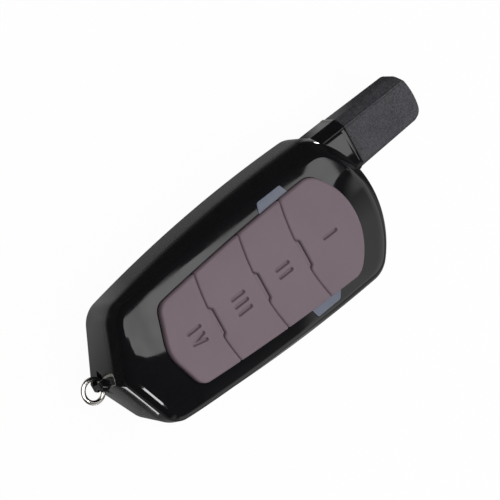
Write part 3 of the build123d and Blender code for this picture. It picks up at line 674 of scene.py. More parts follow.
def make_aerial_cap(settings):
    """Aerial cap: tapered sleeve with a bead along the left front edge and a softly rounded end."""
    back = [(*corner, size) for corner, size in zip(NECK_CORNERS, CAP_FOOT_ROUNDS)]
    right, left = [*back, (*NECK_CORNERS[3], CAP_EDGE_ROUND)], mirrored([*back, *bead_corners(settings)])
    ring = filled(polygon_rounds([*right, *left])) * (1 - CAP_INSET / NECK_HALF, 1 - CAP_INSET / NECK_RISE)
    edge = settings.cap_edge / MM
    bend = (NECK_HALF ** 2 + CAP_CROWN ** 2) / (2 * CAP_CROWN)

    def placed(factor, share=1.0, short=0.0, at=None):
        """One ring scaled about the middle: at a place, or part of the way to near the bulging end."""
        plan = ring * factor
        bulge = CAP_END - (bend - np.sqrt(bend ** 2 - plan[:, 0] ** 2))
        y = NECK_END + (bulge - short - NECK_END) * share if at is None else np.full(len(plan), at)
        lean = CAP_LEAN * (y - NECK_END) / (CAP_END - NECK_END)
        return np.column_stack((NECK_CENTRE + plan[:, 0] - lean, y, NECK_MIDDLE + plan[:, 1]))

    bore = np.array([(half - CAP_WALL) / (half - CAP_INSET) for half in (NECK_HALF, NECK_RISE)])
    rings = [placed(bore * CAP_BORE_TAPER, at=CAP_BORE_END), placed(bore, at=NECK_END + CAP_BORE_START)]
    rings += [placed(factor, at=NECK_END + place) for factor, place in CAP_MOUTH]
    for share in np.linspace(CAP_FIRST, 1.0, CAP_RINGS):
        rings.append(placed(1 - (1 - CAP_TIP_SCALE) * share, share, edge))
    for angle in np.linspace(0, math.pi / 2, CAP_END_RINGS)[1:]:
        inward = edge * (1 - math.cos(angle))
        factor = np.array((1 - inward / NECK_HALF, 1 - inward / NECK_RISE))
        rings.append(placed(factor * CAP_TIP_SCALE, short=edge * (1 - math.sin(angle))))
    rings += [placed(factor * CAP_TIP_SCALE * CAP_DOME_SCALE) for factor in CAP_DOME]
    return skin("aerial_cap_sleeve", rings)


# Keys

def from_segment(points, start, span):
    """Vectors to points from the start of a segment and from its nearest place."""
    away = points - start
    share = np.clip((away @ span) / (span @ span), 0, 1)
    return away, away - share[:, None] * span


def distance_to(line, points):
    """Signed distance from points to a closed outline, negative inside."""
    best = np.full(len(points), np.inf)
    sign = np.ones(len(points))
    for start, span in zip(line, np.roll(line, -1, axis=0) - line):
        if span @ span < 1e-12:
            continue
        away, gap = from_segment(points, start, span)
        distance = (gap ** 2).sum(axis=1)
        side = span[0] * away[:, 1] - span[1] * away[:, 0]
        nearer = distance < best
        best[nearer] = distance[nearer]
        sign[nearer] = np.where(side[nearer] > 0, -1.0, 1.0)
    return np.sqrt(best) * sign


def soft_max(a, b, blend):
    """Larger of two distances, rounded where they meet."""
    mix = np.maximum(blend - np.abs(a - b), 0.0)
    return np.maximum(a, b) + mix ** 2 / (4 * blend)


def soft_min(a, b, blend):
    """Smaller of two distances, rounded where they meet."""
    return -soft_max(-a, -b, blend)


def above_line(points, place):
    """Distance above a line between two keys, negative below it."""
    centre = np.array((0.0, place + SPLIT_RADIUS))
    return SPLIT_RADIUS - np.linalg.norm(points - centre, axis=1)


def in_tab(points, place, grow):
    """Distance to the tab's trapezoid, negative inside."""
    half, top = TAB_WIDTH / 2 + grow, place + TAB_RISE + grow
    x, y = np.abs(points[:, 0] - MARK_SHIFT), points[:, 1]
    slope = math.hypot(TAB_SLOPE, TAB_RISE + grow)
    lean = ((x - half) * (TAB_RISE + grow) + (y - place) * TAB_SLOPE) / slope
    return np.maximum(np.maximum(y - top, lean), np.maximum(x - half, place - TAB_RISE * 2 - y))


def key_distance(number, points):
    """Signed distance to one key's plan."""
    half_gap = KEY_GAP / 2
    found = distance_to(PAD_LINE[0], points)
    if number > 0:
        place = SPLIT_HEIGHTS[number - 1]
        high = soft_min(above_line(points, place) + half_gap, in_tab(points, place, -half_gap), TAB_CORNER)
        found = soft_max(found, high, KEY_CORNER)
    if number < len(SPLIT_HEIGHTS):
        place = SPLIT_HEIGHTS[number]
        low = soft_max(half_gap - above_line(points, place), -in_tab(points, place, half_gap), TAB_CORNER)
        found = soft_max(found, low, KEY_CORNER)
    return found


def strokes(number):
    """Centre lines of one numeral's strokes."""
    place, reach = NUMERAL_HEIGHTS[number], (STROKE_LENGTH - GROOVE_WIDTH) / 2
    if number < 3:
        lines = [(MARK_SHIFT + (stroke - number / 2) * STROKE_PITCH,) * 2 for stroke in range(number + 1)]
    else:
        bar, vee = MARK_SHIFT - STROKE_PITCH, MARK_SHIFT + VEE_PLACE
        lines = [(bar, bar), (vee - VEE_FOOT, vee - VEE_LEAN), (vee + VEE_FOOT, vee + VEE_LEAN)]
    return [(np.array((foot, place - reach)), np.array((head, place + reach))) for foot, head in lines]


def stroke_distance(number, points):
    """Distance to the edge of the nearest stroke."""
    gaps = [from_segment(points, start, end - start)[1] for start, end in strokes(number)]
    return np.min([np.linalg.norm(gap, axis=1) for gap in gaps], axis=0) - GROOVE_WIDTH / 2


def smooth_step(value):
    """Nought to one with soft ends."""
    t = np.clip(value, 0, 1)
    return t * t * (3 - 2 * t)


def key_height(number, points, settings):
    """Height of a key's top over points of its plan."""
    edge = settings.edge_round / MM
    depth_in = np.clip(-key_distance(number, points), 0, edge)
    height = KEY_TOP - EDGE_SLOPE * (edge - depth_in) ** 2 / edge - fall(points)
    sunk = smooth_step(-stroke_distance(number, points) / GROOVE_RAMP)
    height = height - settings.groove_depth / MM * sunk
    if number > 0:
        start, width = TAB_RAMP
        ramp = smooth_step((above_line(points, SPLIT_HEIGHTS[number - 1]) + start) / width)
        start, width = TAB_SIDE
        inside = smooth_step((TAB_WIDTH / 2 + start - np.abs(points[:, 0] - MARK_SHIFT)) / width)
        height = height - settings.tab_drop / MM * ramp * inside
    return height


def key_outline(number):
    """The key's plan as an evenly spaced closed ring, found by walking rays out of its middle."""
    low = SPLIT_HEIGHTS[number] if number < len(SPLIT_HEIGHTS) else PAD[0]
    high = SPLIT_HEIGHTS[number - 1] if number > 0 else PAD[4]
    centre = np.array((0.0, (low + high) / 2 + (MIDDLE_LIFT if 0 < number < 3 else 0.0)))
    angles = np.arange(RAYS) * 2 * math.pi / RAYS
    rays = np.stack((np.cos(angles), np.sin(angles)), axis=1)
    near, far = np.zeros(RAYS), np.full(RAYS, RAY_LENGTH)
    for _ in range(HALVINGS):
        middle = (near + far) / 2
        inside = key_distance(number, centre + rays * middle[:, None]) < 0
        near, far = np.where(inside, middle, near), np.where(inside, far, middle)
    dense = centre + rays * near[:, None]
    gaps = np.linalg.norm(np.roll(dense, -1, axis=0) - dense, axis=1)
    total = np.concatenate(([0], np.cumsum(gaps)))
    count = int(total[-1] / EDGE_SPACING)
    wanted = np.arange(count) * total[-1] / count
    loop = np.concatenate((dense, dense[:1]))
    return np.column_stack([np.interp(wanted, total, loop[:, axis]) for axis in (0, 1)])


def edge_points(number, ring, edge):
    """Rows of points over a key's rounded edge, without those that a tight corner pushes out of a row."""
    tangent = np.roll(ring, -1, axis=0) - np.roll(ring, 1, axis=0)
    tangent = tangent / np.linalg.norm(tangent, axis=1, keepdims=True)
    inward = np.stack((-tangent[:, 1], tangent[:, 0]), axis=1)
    rows = []
    share, least = ROW_SLACK
    for angle in np.linspace(0, math.pi / 2, EDGE_ROWS)[1:]:
        offset = edge * (1 - math.cos(angle))
        moved = ring + inward * offset
        rows.append(moved[np.abs(key_distance(number, moved) + offset) < share * offset + least])
    return rows


def lattice_points(number, ring, pitch, band, tab, margin, near):
    """Points of an even lattice inside a key, either near its numeral and its tab or clear of them."""
    low, high = ring.min(axis=0), ring.max(axis=0)
    xs, ys = np.arange(low[0], high[0], pitch), np.arange(low[1], high[1], pitch * ROW_PITCH)
    grid = np.array([(x + (row % 2) * pitch / 2, y) for row, y in enumerate(ys) for x in xs])
    stroke = stroke_distance(number, grid)
    close = (stroke > band[0]) & (stroke < band[1])
    if number > 0:
        beside = np.abs(grid[:, 0] - MARK_SHIFT) < TAB_WIDTH / 2 + tab[0]
        close |= beside & (grid[:, 1] > SPLIT_HEIGHTS[number - 1] - tab[1])
    return grid[(close == near) & (key_distance(number, grid) < -margin)]


def make_key(number, settings):
    """One key: a fine top with rounded edges, its numeral and tab, straight sides and a hollow underside."""
    edge = settings.edge_round / MM
    ring = key_outline(number)
    points = np.concatenate([
        ring, *edge_points(number, ring, edge),
        lattice_points(number, ring, FINE, FINE_BAND, FINE_TAB, edge + FINE_MARGIN, True),
        lattice_points(number, ring, COARSE, COARSE_BAND, COARSE_TAB, edge + COARSE_MARGIN, False)])
    edges = [(i, (i + 1) % len(ring)) for i in range(len(ring))]
    flat, _, faces, *_ = delaunay_2d_cdt([Vector(p) for p in points], edges, [], 1, 1e-5)
    flat = np.array([(p.x, p.y) for p in flat])
    made = mesh_from(f"key_{number + 1}_cap", np.column_stack((flat, key_height(number, flat, settings))),
                     [tuple(face) for face in faces])
    work = bmesh.new()
    work.from_mesh(made.data)
    rim = [item for item in work.edges if len(item.link_faces) == 1]
    for lowered in (lambda z: z - GUARD_DEPTH * MM, lambda z: PAD_FLOOR * MM):
        new = bmesh.ops.extrude_edge_only(work, edges=rim)["geom"]
        rim = [item for item in new if isinstance(item, bmesh.types.BMEdge)]
        for item in new:
            if isinstance(item, bmesh.types.BMVert):
                item.co.z = lowered(item.co.z)
    bmesh.ops.contextual_create(work, geom=rim)
    close_up(work, made)
    hollow_key(made, number)
    return made


def hollow_key(made, number):
    """Cut the pocket under a key, and add the post over its switch and the lugs under the panel."""
    place, (wide, deep) = SWITCH_HEIGHTS[number], POCKET_HALF
    pocket = rounded_box((-wide, place - deep), (wide, place + deep), POCKET_ROUND)
    cut(made, prism("pocket", pocket, PAD_FLOOR - 1, KEY_TOP - POCKET_ROOF))
    join(made, rod("post", (0.0, place), KEY_POST_RADIUS, PLUNGER_TOP, KEY_TOP - KEY_POST_ROOF, 32))
    middle, line = LUG_HEIGHTS[number], PAD_LINE[0]
    strip = line[(np.abs(line[:, 1] - middle) < LUG_HALF) & (line[:, 0] > 0)]
    reach = strip[:, 0].min() + LUG_REACH
    for side in (-1, 1):
        low, high = sorted((side * (reach - LUG_LENGTH), side * reach))
        join(made, block("lug", (low, middle - LUG_HALF, PANEL_FLOOR - LUG_THICK),
                         (high, middle + LUG_HALF, PANEL_FLOOR)))


# Node trees and shader groups

# Values of a noise between which a finish changes (for the grain, the span of its painted shade in the pits
# and painted highlight on the rises), and the scale of the slow wave
MARKS_SPAN, TONE_SPAN, GRAIN_SHADE_SPAN, WAVE_SCALE = (0.42, 0.75), (0.3, 0.7), (0.38, 0.62), 60.0


def new_tree(name, kind, inputs, outputs):
    """An empty node tree with its sockets: inputs are (name, type, default if any), outputs (name, type)."""
    tree = bpy.data.node_groups.new(name, f"{kind}NodeTree")
    for label, sort, *default in inputs:
        socket = tree.interface.new_socket(name=label, in_out="INPUT", socket_type=f"NodeSocket{sort}")
        if default:
            socket.default_value = default[0]
    for label, sort in outputs:
        tree.interface.new_socket(name=label, in_out="OUTPUT", socket_type=f"NodeSocket{sort}")
    return tree, tree.nodes.new("NodeGroupInput").outputs, tree.nodes.new("NodeGroupOutput").inputs


def feed(tree, socket, given):
    """Give an input its value, or link it to an output."""
    if isinstance(given, bpy.types.NodeSocket):
        tree.links.new(given, socket)
    else:
        socket.default_value = given


def add_node(tree, kind, inputs=None, **settings):
    """A node with its settings and its inputs. Returns its outputs."""
    made = tree.nodes.new(kind)
    for name, value in settings.items():
        setattr(made, name, value)
    for label, given in (inputs or {}).items():
        feed(tree, made.inputs[label], given)
    return made.outputs


def noise(tree, source, scale, detail, rough=0.5):
    """A noise texture on a coordinate."""
    return add_node(tree, "ShaderNodeTexNoise", {
        "Vector": source, "Scale": scale, "Detail": detail, "Roughness": rough})["Fac"]


def span(tree, value, low, high, to_low, to_high):
    """Map a value from one range to another, clamped."""
    return add_node(tree, "ShaderNodeMapRange", {
        "Value": value, "From Min": low, "From Max": high, "To Min": to_low, "To Max": to_high})["Result"]


def maths(tree, operation, first, second):
    """One maths node on two values."""
    return add_node(tree, "ShaderNodeMath", {0: first, 1: second}, operation=operation)["Value"]


def product(tree, first, *others):
    """Values multiplied together."""
    for other in others:
        first = maths(tree, "MULTIPLY", first, other)
    return first


def bump(tree, height, distance):
    """A normal from a height, whose full depth is a distance in metres."""
    return add_node(tree, "ShaderNodeBump", {"Height": height, "Distance": distance})["Normal"]


def make_grain_group():
    """Fine moulded grain: a height for a bump."""
    tree, given, result = new_tree(
        "moulded_grain", "Shader",
        [("Vector", "Vector"), ("Scale", "Float", 4000.0), ("Coarse Scale", "Float", 900.0)],
        [("Height", "Float")])
    fine = noise(tree, given["Vector"], given["Scale"], 3.0, 0.6)
    coarse = noise(tree, given["Vector"], given["Coarse Scale"], 2.0)
    feed(tree, result["Height"], maths(tree, "ADD", product(tree, fine, 0.75), product(tree, coarse, 0.25)))


def make_marks_group():
    """Faint marks of handling: a roughness between two values, and a slow wave of the surface."""
    tree, given, result = new_tree(
        "handling_marks", "Shader",
        [("Vector", "Vector"), ("Scale", "Float", 90.0), ("Clean", "Float", 0.05),
         ("Touched", "Float", 0.12)],
        [("Roughness", "Float"), ("Wave", "Float")])
    broad = noise(tree, given["Vector"], given["Scale"], 4.0, 0.62)
    feed(tree, result["Roughness"], span(tree, broad, *MARKS_SPAN, given["Clean"], given["Touched"]))
    feed(tree, result["Wave"], noise(tree, given["Vector"], WAVE_SCALE, 1.0, 0.4))


def make_tone_group():
    """Slow change of tone between two colours."""
    tree, given, result = new_tree(
        "tone_drift", "Shader",
        [("Vector", "Vector"), ("Scale", "Float", 120.0),
         ("Dark", "Color", (0.1, 0.1, 0.1, 1.0)), ("Light", "Color", (0.2, 0.2, 0.2, 1.0))],
        [("Color", "Color")])
    slow = noise(tree, given["Vector"], given["Scale"], 5.0, 0.6)
    share = span(tree, slow, *TONE_SPAN, 0.0, 1.0)
    colours = {"Factor": share, "A": given["Dark"], "B": given["Light"]}
    feed(tree, result["Color"], add_node(tree, "ShaderNodeMix", colours, data_type="RGBA")["Result"])


def group_node(tree, group, vector, **values):
    """Place a group in a material with its own values. Returns its outputs."""
    inputs = {"Vector": vector, **{label.replace("_", " "): value for label, value in values.items()}}
    return add_node(tree, "ShaderNodeGroup", inputs, node_tree=bpy.data.node_groups[group])


def finish_material(name, colour, rough, grain=None, wave=0.0, **sockets):
    """A moulded, cast or drawn finish: tone drift, handling marks, and a wave or a grain, round one shader.

    colour is a dark and a light tone, rough a clean and a touched roughness, wave a bump distance in metres,
    and grain is (fine scale, coarse scale, bump distance in metres, share of painted shade in the grain's
    pits and painted highlight on its rises, if any).
    """
    made = bpy.data.materials.new(name)
    made.use_nodes = True
    tree = made.node_tree
    place = add_node(tree, "ShaderNodeTexCoord")["Object"]
    tone = group_node(tree, "tone_drift", place, Dark=(*colour[0], 1), Light=(*colour[1], 1))["Color"]
    marks = group_node(tree, "handling_marks", place, Clean=rough[0], Touched=rough[1])
    inputs = {"Base Color": tone, "Roughness": marks["Roughness"]}
    if wave:
        inputs["Normal"] = bump(tree, marks["Wave"], wave)
    if grain:
        fine, coarse, depth, *change = grain
        pits = group_node(tree, "moulded_grain", place, Scale=fine, Coarse_Scale=coarse)["Height"]
        inputs["Normal"] = bump(tree, pits, depth)
        if change:
            # painted shade and highlight: the colour follows the grain's height, darker in its pits and
            # lighter on its rises
            grain_shade = span(tree, pits, *GRAIN_SHADE_SPAN, 1 - change[0], 1 + change[0])
            grain_shaded = add_node(tree, "ShaderNodeHueSaturation", {"Value": grain_shade, "Color": tone})
            inputs["Base Color"] = grain_shaded["Color"]
    inputs |= {label.replace("_", " "): value for label, value in sockets.items()}
    for label, given in inputs.items():
        feed(tree, tree.nodes["Principled BSDF"].inputs[label], given)


def tones(colour, spread=0.08):
    """A dark and a light tone round a colour."""
    return tuple(c * (1 - spread) for c in colour), tuple(c * (1 + spread) for c in colour)


# Settings

def length_setting(name, default, description):
    """A length, given in millimetres."""
    return bpy.props.FloatProperty(
        name=name, description=description, default=default * MM, unit="LENGTH", subtype="DISTANCE",
        precision=5)


def colour_setting(name, default, description):
    """A colour."""
    return bpy.props.FloatVectorProperty(
        name=name, description=description, default=default, subtype="COLOR", size=3, min=0.0, max=1.0)


def factor_setting(name, default, description):
    """A share from nought to one."""
    return bpy.props.FloatProperty(
        name=name, description=description, default=default, min=0.0, max=1.0, subtype="FACTOR")


class CoverSettings(bpy.types.PropertyGroup):
    """Sizes and colour of the glossy covers and their windows."""
    shoulder_round: length_setting("Shoulder Round", 9.0, "Radius between the side and the sloping band")
    panel_round: length_setting("Panel Round", 1.3, "Radius round the front panel")
    seam_round: length_setting("Seam Round", 0.05, "Softened edge where the two covers meet")
    opening_round: length_setting("Opening Round", 0.12, "Softened edge of the key opening")
    colour: colour_setting("Cover Colour", (0.006, 0.006, 0.007), "Colour of the glossy moulding")
    back_colour: colour_setting("Back Colour", (0.012, 0.012, 0.013), "Colour of the back cover")
    window_colour: colour_setting("Window Colour", (0.17, 0.19, 0.255), "Tint of the light windows")


class KeySettings(bpy.types.PropertyGroup):
    """Sizes and colour of the four keys."""
    edge_round: length_setting("Edge Round", 0.42, "Radius of the keys' upper edges")
    groove_depth: length_setting("Numeral Depth", 0.46, "Depth of the sunk numerals")
    tab_drop: length_setting("Tab Drop", 0.3, "How far each tab ramps down")
    colour: colour_setting("Key Colour", (0.166, 0.12, 0.143), "Colour of the soft-touch keys")


class AerialSettings(bpy.types.PropertyGroup):
    """Sizes and colour of the neck and the aerial cap."""
    bead_width: length_setting("Bead Width", 0.22, "Width of the bead along the front edges")
    bead_depth: length_setting("Bead Depth", 0.09, "Depth of the grooves beside the bead")
    collar_length: length_setting("Collar Length", 0.7, "Length of the neck's collar")
    collar_proud: length_setting("Collar Proud", 0.04, "How far the collar stands proud")
    cap_edge: length_setting("Cap Edge", 1.0, "Radius of the cap's end")
    colour: colour_setting("Cap Colour", (0.052, 0.051, 0.059), "Colour of the grained cap")


class RingSettings(bpy.types.PropertyGroup):
    """Sizes and colour of the key ring."""
    wire: length_setting("Wire Radius", 0.5, "Radius of the ring's wire")
    radius: length_setting("Ring Radius", 2.39, "Radius to the middle of the wire")
    joint: bpy.props.FloatProperty(name="Joint", description="Opening of the butt joint",
                                   default=math.radians(2.5), subtype="ANGLE")
    colour: colour_setting("Ring Colour", (0.84, 0.79, 0.745), "Colour of the plated wire")


def brightness_setting(name, default, description):
    """A brightness from nought up."""
    return bpy.props.FloatProperty(name=name, description=description, default=default, min=0.0)


class StudioSettings(bpy.types.PropertyGroup):
    """Floor, room and lights."""
    floor_size: length_setting("Floor Size", 6000.0, "Width of the floor")
    floor_colour: colour_setting("Floor Colour", (0.8, 0.8, 0.8), "Colour of the floor")
    floor_white: factor_setting("Floor White", 0.97, "Share of plain white in the seen floor")
    near_white: factor_setting("Near White", 0.5, "Mirrored white of the floor beside the object")
    far_white: factor_setting("Far White", 0.02, "Mirrored white of the floor further away")
    right_white: factor_setting("Right White", 0.2, "Mirrored white of the floor on the right")
    side_glow: factor_setting("Side Glow", 0.8, "Mirrored white of the room on the right")
    room: brightness_setting("Room", 0.45, "Brightness of the room for matte surfaces")
    broad_light: brightness_setting("Broad Light", 2.8, "Brightness of the light on matte surfaces")
    soft_light: brightness_setting("Soft Light", 2.5, "Brightness of the large soft light")
    streak_light: brightness_setting("Streak Light", 14.0, "Brightness of the narrow lights")
    corner_light: brightness_setting("Corner Light", 1.2, "Brightness of the light in the head's corner")
    ring_light: brightness_setting("Ring Light", 2.8, "Brightness of the ring's own light")


# Geometry Nodes trees

def end_tree(tree, given, result, geometry):
    """Realize Instances and Set Material, the tree's last two nodes."""
    real = add_node(tree, "GeometryNodeRealizeInstances", {"Geometry": geometry})["Geometry"]
    paint = add_node(tree, "GeometryNodeSetMaterial", {"Geometry": real, "Material": given["Material"]})
    tree.links.new(paint["Geometry"], result["Geometry"])
    return tree


def ring_tree():
    """A wire bent into a circle with a butt joint."""
    tree, given, result = new_tree("bent_wire_ring", "Geometry", [
        ("Geometry", "Geometry"), ("Ring Radius", "Float"), ("Wire Radius", "Float"), ("Joint", "Float"),
        ("Joint Angle", "Float"), ("Place", "Vector"), ("Material", "Material")], [("Geometry", "Geometry")])
    bend = add_node(tree, "GeometryNodeCurveArc", {
        "Resolution": 120, "Radius": given["Ring Radius"], "Start Angle": given["Joint Angle"],
        "Sweep Angle": maths(tree, "SUBTRACT", 2 * math.pi, given["Joint"])})
    wire = add_node(tree, "GeometryNodeCurvePrimitiveCircle", {
        "Resolution": 28, "Radius": given["Wire Radius"]})
    sweep = add_node(tree, "GeometryNodeCurveToMesh", {
        "Curve": bend["Curve"], "Profile Curve": wire["Curve"], "Fill Caps": True})
    move = add_node(tree, "GeometryNodeTransform", {
        "Geometry": sweep["Mesh"], "Translation": given["Place"]})
    return end_tree(tree, given, result, move["Geometry"])


def repeat_tree():
    """One piece set at each point of the object's own mesh."""
    tree, given, result = new_tree("piece_on_points", "Geometry", [
        ("Geometry", "Geometry"), ("Piece", "Object"), ("Size", "Float"), ("Material", "Material")],
        [("Geometry", "Geometry")])
    piece = add_node(tree, "GeometryNodeObjectInfo", {"Object": given["Piece"]})["Geometry"]
    place = add_node(tree, "GeometryNodeInstanceOnPoints", {
        "Points": given["Geometry"], "Instance": piece, "Scale": given["Size"]})
    return end_tree(tree, given, result, place["Instances"])


def run_tree(name, tree, values, points=((0.0, 0.0, 0.0),)):
    """Evaluate a tree on points, in millimetres, and return the result as a plain mesh object."""
    made = mesh_from(name, points, [])
    change = made.modifiers.new("tree", "NODES")
    change.node_group = tree
    for item in tree.interface.items_tree:
        if item.item_type == "SOCKET" and item.in_out == "INPUT" and item.name in values:
            change[item.identifier] = values[item.name]
    apply_modifiers(made, "its tree")
    return made


def make_screw():
    """One pan-head screw at the origin, head down, with a cross recess and a thread."""
    profile = list(SCREW_HEAD)
    height, thread_end = SCREW_THREAD
    while height < thread_end:
        profile += [(SCREW_CORE, height), (SCREW_CREST, height + SCREW_FLANK)]
        height += SCREW_PITCH
    rings = [flat_ring(disc((0, 0), radius, 32), height) for radius, height in (*profile, *SCREW_POINT)]
    made = skin("one_screw", rings)
    for half in (CROSS, CROSS[::-1]):
        mouth = np.array([(x * half[0], y * half[1]) for x, y in SQUARE])
        cut(made, skin("cross", [flat_ring(mouth, 0.0), flat_ring(mouth * CROSS_TAPER, CROSS_DEPTH)]))
    return made


# Operators

INSIDE_FINISHES = {                          # colour, clean and touched roughness, metal
    "board_green": ((0.012, 0.07, 0.028), (0.3, 0.45), 0.0),
    "switch_black": ((0.02, 0.02, 0.021), (0.4, 0.5), 0.0),
    "plunger_white": ((0.6, 0.59, 0.56), (0.35, 0.45), 0.0),
    "chip_black": ((0.018, 0.018, 0.02), (0.45, 0.6), 0.0),
    "plated_steel": ((0.62, 0.61, 0.58), (0.2, 0.35), 1.0),
    "screw_steel": ((0.42, 0.41, 0.4), (0.25, 0.4), 1.0),
    "coil_copper": ((0.72, 0.34, 0.17), (0.2, 0.32), 1.0),
    "ceramic_tan": ((0.42, 0.31, 0.2), (0.4, 0.5), 0.0),
    "light_white": ((0.75, 0.74, 0.68), (0.25, 0.35), 0.0),
}


def settings_of(context):
    """The scene's settings: covers, keys, aerial, ring, studio."""
    scene = context.scene
    return (scene.remote_covers, scene.remote_keys, scene.remote_aerial, scene.remote_ring,
            scene.remote_studio)


class REMOTE_OT_finishes(bpy.types.Operator):
    """Make the shared shader groups and every finish of the remote"""
    bl_idname = "remote.finishes"
    bl_label = "Make Finishes"

    def execute(self, context):
        covers, keys, aerial, ring, _ = settings_of(context)
        make_grain_group()
        make_marks_group()
        make_tone_group()
        finish_material("cover_gloss", tones(covers.colour, 0.1), (0.035, 0.09), wave=0.00001)
        finish_material("back_satin", tones(covers.back_colour, 0.1), (0.05, 0.12), wave=0.00001)
        # the cap's grain: its last value, 0.4, is painted shade in the grain's pits and painted highlight on
        # its rises
        finish_material("cap_grain", tones(aerial.colour, 0.16), (0.5, 0.62),
                        grain=(3400.0, 1500.0, 0.00016, 0.4), Specular_IOR_Level=0.4)
        finish_material("key_soft_touch", tones(keys.colour, 0.025), (0.5, 0.6),
                        grain=(6000.0, 1500.0, 0.000012))
        finish_material("window_tint", tones(covers.window_colour, 0.06), (0.12, 0.25),
                        grain=(3000.0, 800.0, 0.000004), Transmission_Weight=0.25, IOR=1.5)
        finish_material("ring_nickel", tones(ring.colour, 0.06), (0.2, 0.34),
                        grain=(2600.0, 700.0, 0.000006), Metallic=0.2)
        for name, (colour, rough, metal) in INSIDE_FINISHES.items():
            finish_material(f"{name}_finish", tones(colour), rough,
                            grain=(3500.0, 900.0, 0.000008), Metallic=metal)
        return {"FINISHED"}


class REMOTE_OT_covers(bpy.types.Operator):
    """Make the glossy front cover and the back cover with its eye"""
    bl_idname = "remote.covers"
    bl_label = "Make Covers"

    def execute(self, context):
        covers, _, aerial, _, _ = settings_of(context)
        front = make_front_cover(covers, aerial)
        finish_piece(front, "cover_gloss", "housing", ["front_cover"])
        back = make_back_cover(covers, aerial)
        finish_piece(back, "back_satin", "housing", ["back_cover"])
        return {"FINISHED"}


class REMOTE_OT_windows(bpy.types.Operator):
    """Make the two tinted windows beside the upper keys"""
    bl_idname = "remote.windows"
    bl_label = "Make Windows"

    def execute(self, context):
        covers = settings_of(context)[0]
        for side, node in ((1, "window_right"), (-1, "window_left")):
            piece = make_window(side, covers)
            finish_piece(piece, "window_tint", "housing", [node])
        return {"FINISHED"}


class REMOTE_OT_keys(bpy.types.Operator):
    """Make the four keys with their numerals"""
    bl_idname = "remote.keys"
    bl_label = "Make Keys"

    def execute(self, context):
        keys = settings_of(context)[1]
        for number, body in enumerate(("first_key", "second_key", "third_key", "fourth_key")):
            piece = make_key(number, keys)
            finish_piece(piece, "key_soft_touch", body, [f"key_{number + 1}"])
        return {"FINISHED"}


class REMOTE_OT_aerial(bpy.types.Operator):
    """Make the grained aerial cap"""
    bl_idname = "remote.aerial"
    bl_label = "Make Aerial Cap"

    def execute(self, context):
        piece = make_aerial_cap(settings_of(context)[2])
        finish_piece(piece, "cap_grain", "housing", ["antenna_cap"])
        return {"FINISHED"}


class REMOTE_OT_ring(bpy.types.Operator):
    """Bend the key ring through its eye"""
    bl_idname = "remote.ring"
    bl_label = "Make Key Ring"

    def execute(self, context):
        ring = settings_of(context)[3]
        low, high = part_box("key_ring")
        piece = run_tree("key_ring_wire", ring_tree(), {
            "Ring Radius": ring.radius, "Wire Radius": ring.wire, "Joint": ring.joint,
            "Joint Angle": math.radians(JOINT_PLACE), "Place": tuple((low + high) / 2),
            "Material": bpy.data.materials["ring_nickel"]})
        finish_piece(piece, "ring_nickel", "ring", ["key_ring"], sharp=50)
        return {"FINISHED"}


class REMOTE_OT_screws(bpy.types.Operator):
    """Set the three cover screws in their wells"""
    bl_idname = "remote.screws"
    bl_label = "Make Cover Screws"

    def execute(self, context):
        screw = make_screw()
        values = {"Piece": screw, "Size": 1.0, "Material": bpy.data.materials["screw_steel_finish"]}
        piece = run_tree("cover_screw_set", repeat_tree(), values, [(x, y, 0.0) for x, y in SCREW_PLACES])
        bpy.data.objects.remove(screw)
        finish_piece(piece, "screw_steel_finish", "housing", ["cover_screws"], sharp=35)
        return {"FINISHED"}


class REMOTE_OT_inside(bpy.types.Operator):
    """Give the pieces inside the covers their finishes"""
    bl_idname = "remote.inside"
    bl_label = "Dress the Inside"

    def execute(self, context):
        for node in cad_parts.values():
            for place in node.material_slots:
                finish = bpy.data.materials.get(f"{place.material.name.split('.')[0]}_finish")
                if finish:
                    place.material = finish
        return {"FINISHED"}


class REMOTE_OT_stage(bpy.types.Operator):
    """Set up the floor, the lights and the camera"""
    bl_idname = "remote.stage"
    bl_label = "Set the Stage"

    def execute(self, context):
        studio = settings_of(context)[4]
        make_floor(studio)
        make_room(studio)
        make_lights(studio)
        make_camera()
        context.scene.view_settings.view_transform = "Standard"
        return {"FINISHED"}


# Stage

VIEW_BACK = Vector((-0.2971, -0.4518, 0.8411))
VIEW_RIGHT = Vector((0.4622, 0.7028, 0.5407))
VIEW_UP = Vector((-0.8355, 0.5494, 0.0))
AIM = Vector((-6.5, 1.15, 13.8)) * MM
VIEW_DISTANCE, VIEW_LENS, VIEW_SENSOR, VIEW_CLIP = 3.0, 1080.0, 36.0, (0.1, 20.0)
PICTURE, PICTURE_WIDTH = 500, 100.0          # the picture's points across, and the millimetres they show
FLOOR_DROP = 0.06

# The floor's white in reflections. The body's sides are directions and how far out they lie, in millimetres.
# The rest is in metres.
OUTLINE_SIDES = ((1.0, 0.02, 17.1), (0.997, -0.0735, 16.09), (0.371, -0.929, 35.2), (0.6, 0.8, 32.0),
                 (0.0, 1.0, 35.2))
FLOOR_FADE, FLOOR_RIGHT = (0.0005, 0.0085), (0.008, 0.018)
LEFT_CHANGES = (("X", -0.004, 0.012, 1.0, 0.3), ("Y", -0.034, -0.02, 1.2, 0.42))
NECK_CHANGES = (("Y", 0.031, 0.036, 0.0, 0.6), ("Y", 0.041, 0.046, 1.0, 0.0),
                ("X", -0.025, -0.021, 0.0, 1.0), ("X", -0.012, -0.008, 1.0, 0.0))

# The room's glow in reflections: its direction, where it fades in and where it ends below the ceiling
GLOW_WAY, GLOW_EDGE, GLOW_TOP, CEILING = (0.85, 0.53, 0.0), (0.45, 0.7), (0.62, 0.8), 0.03

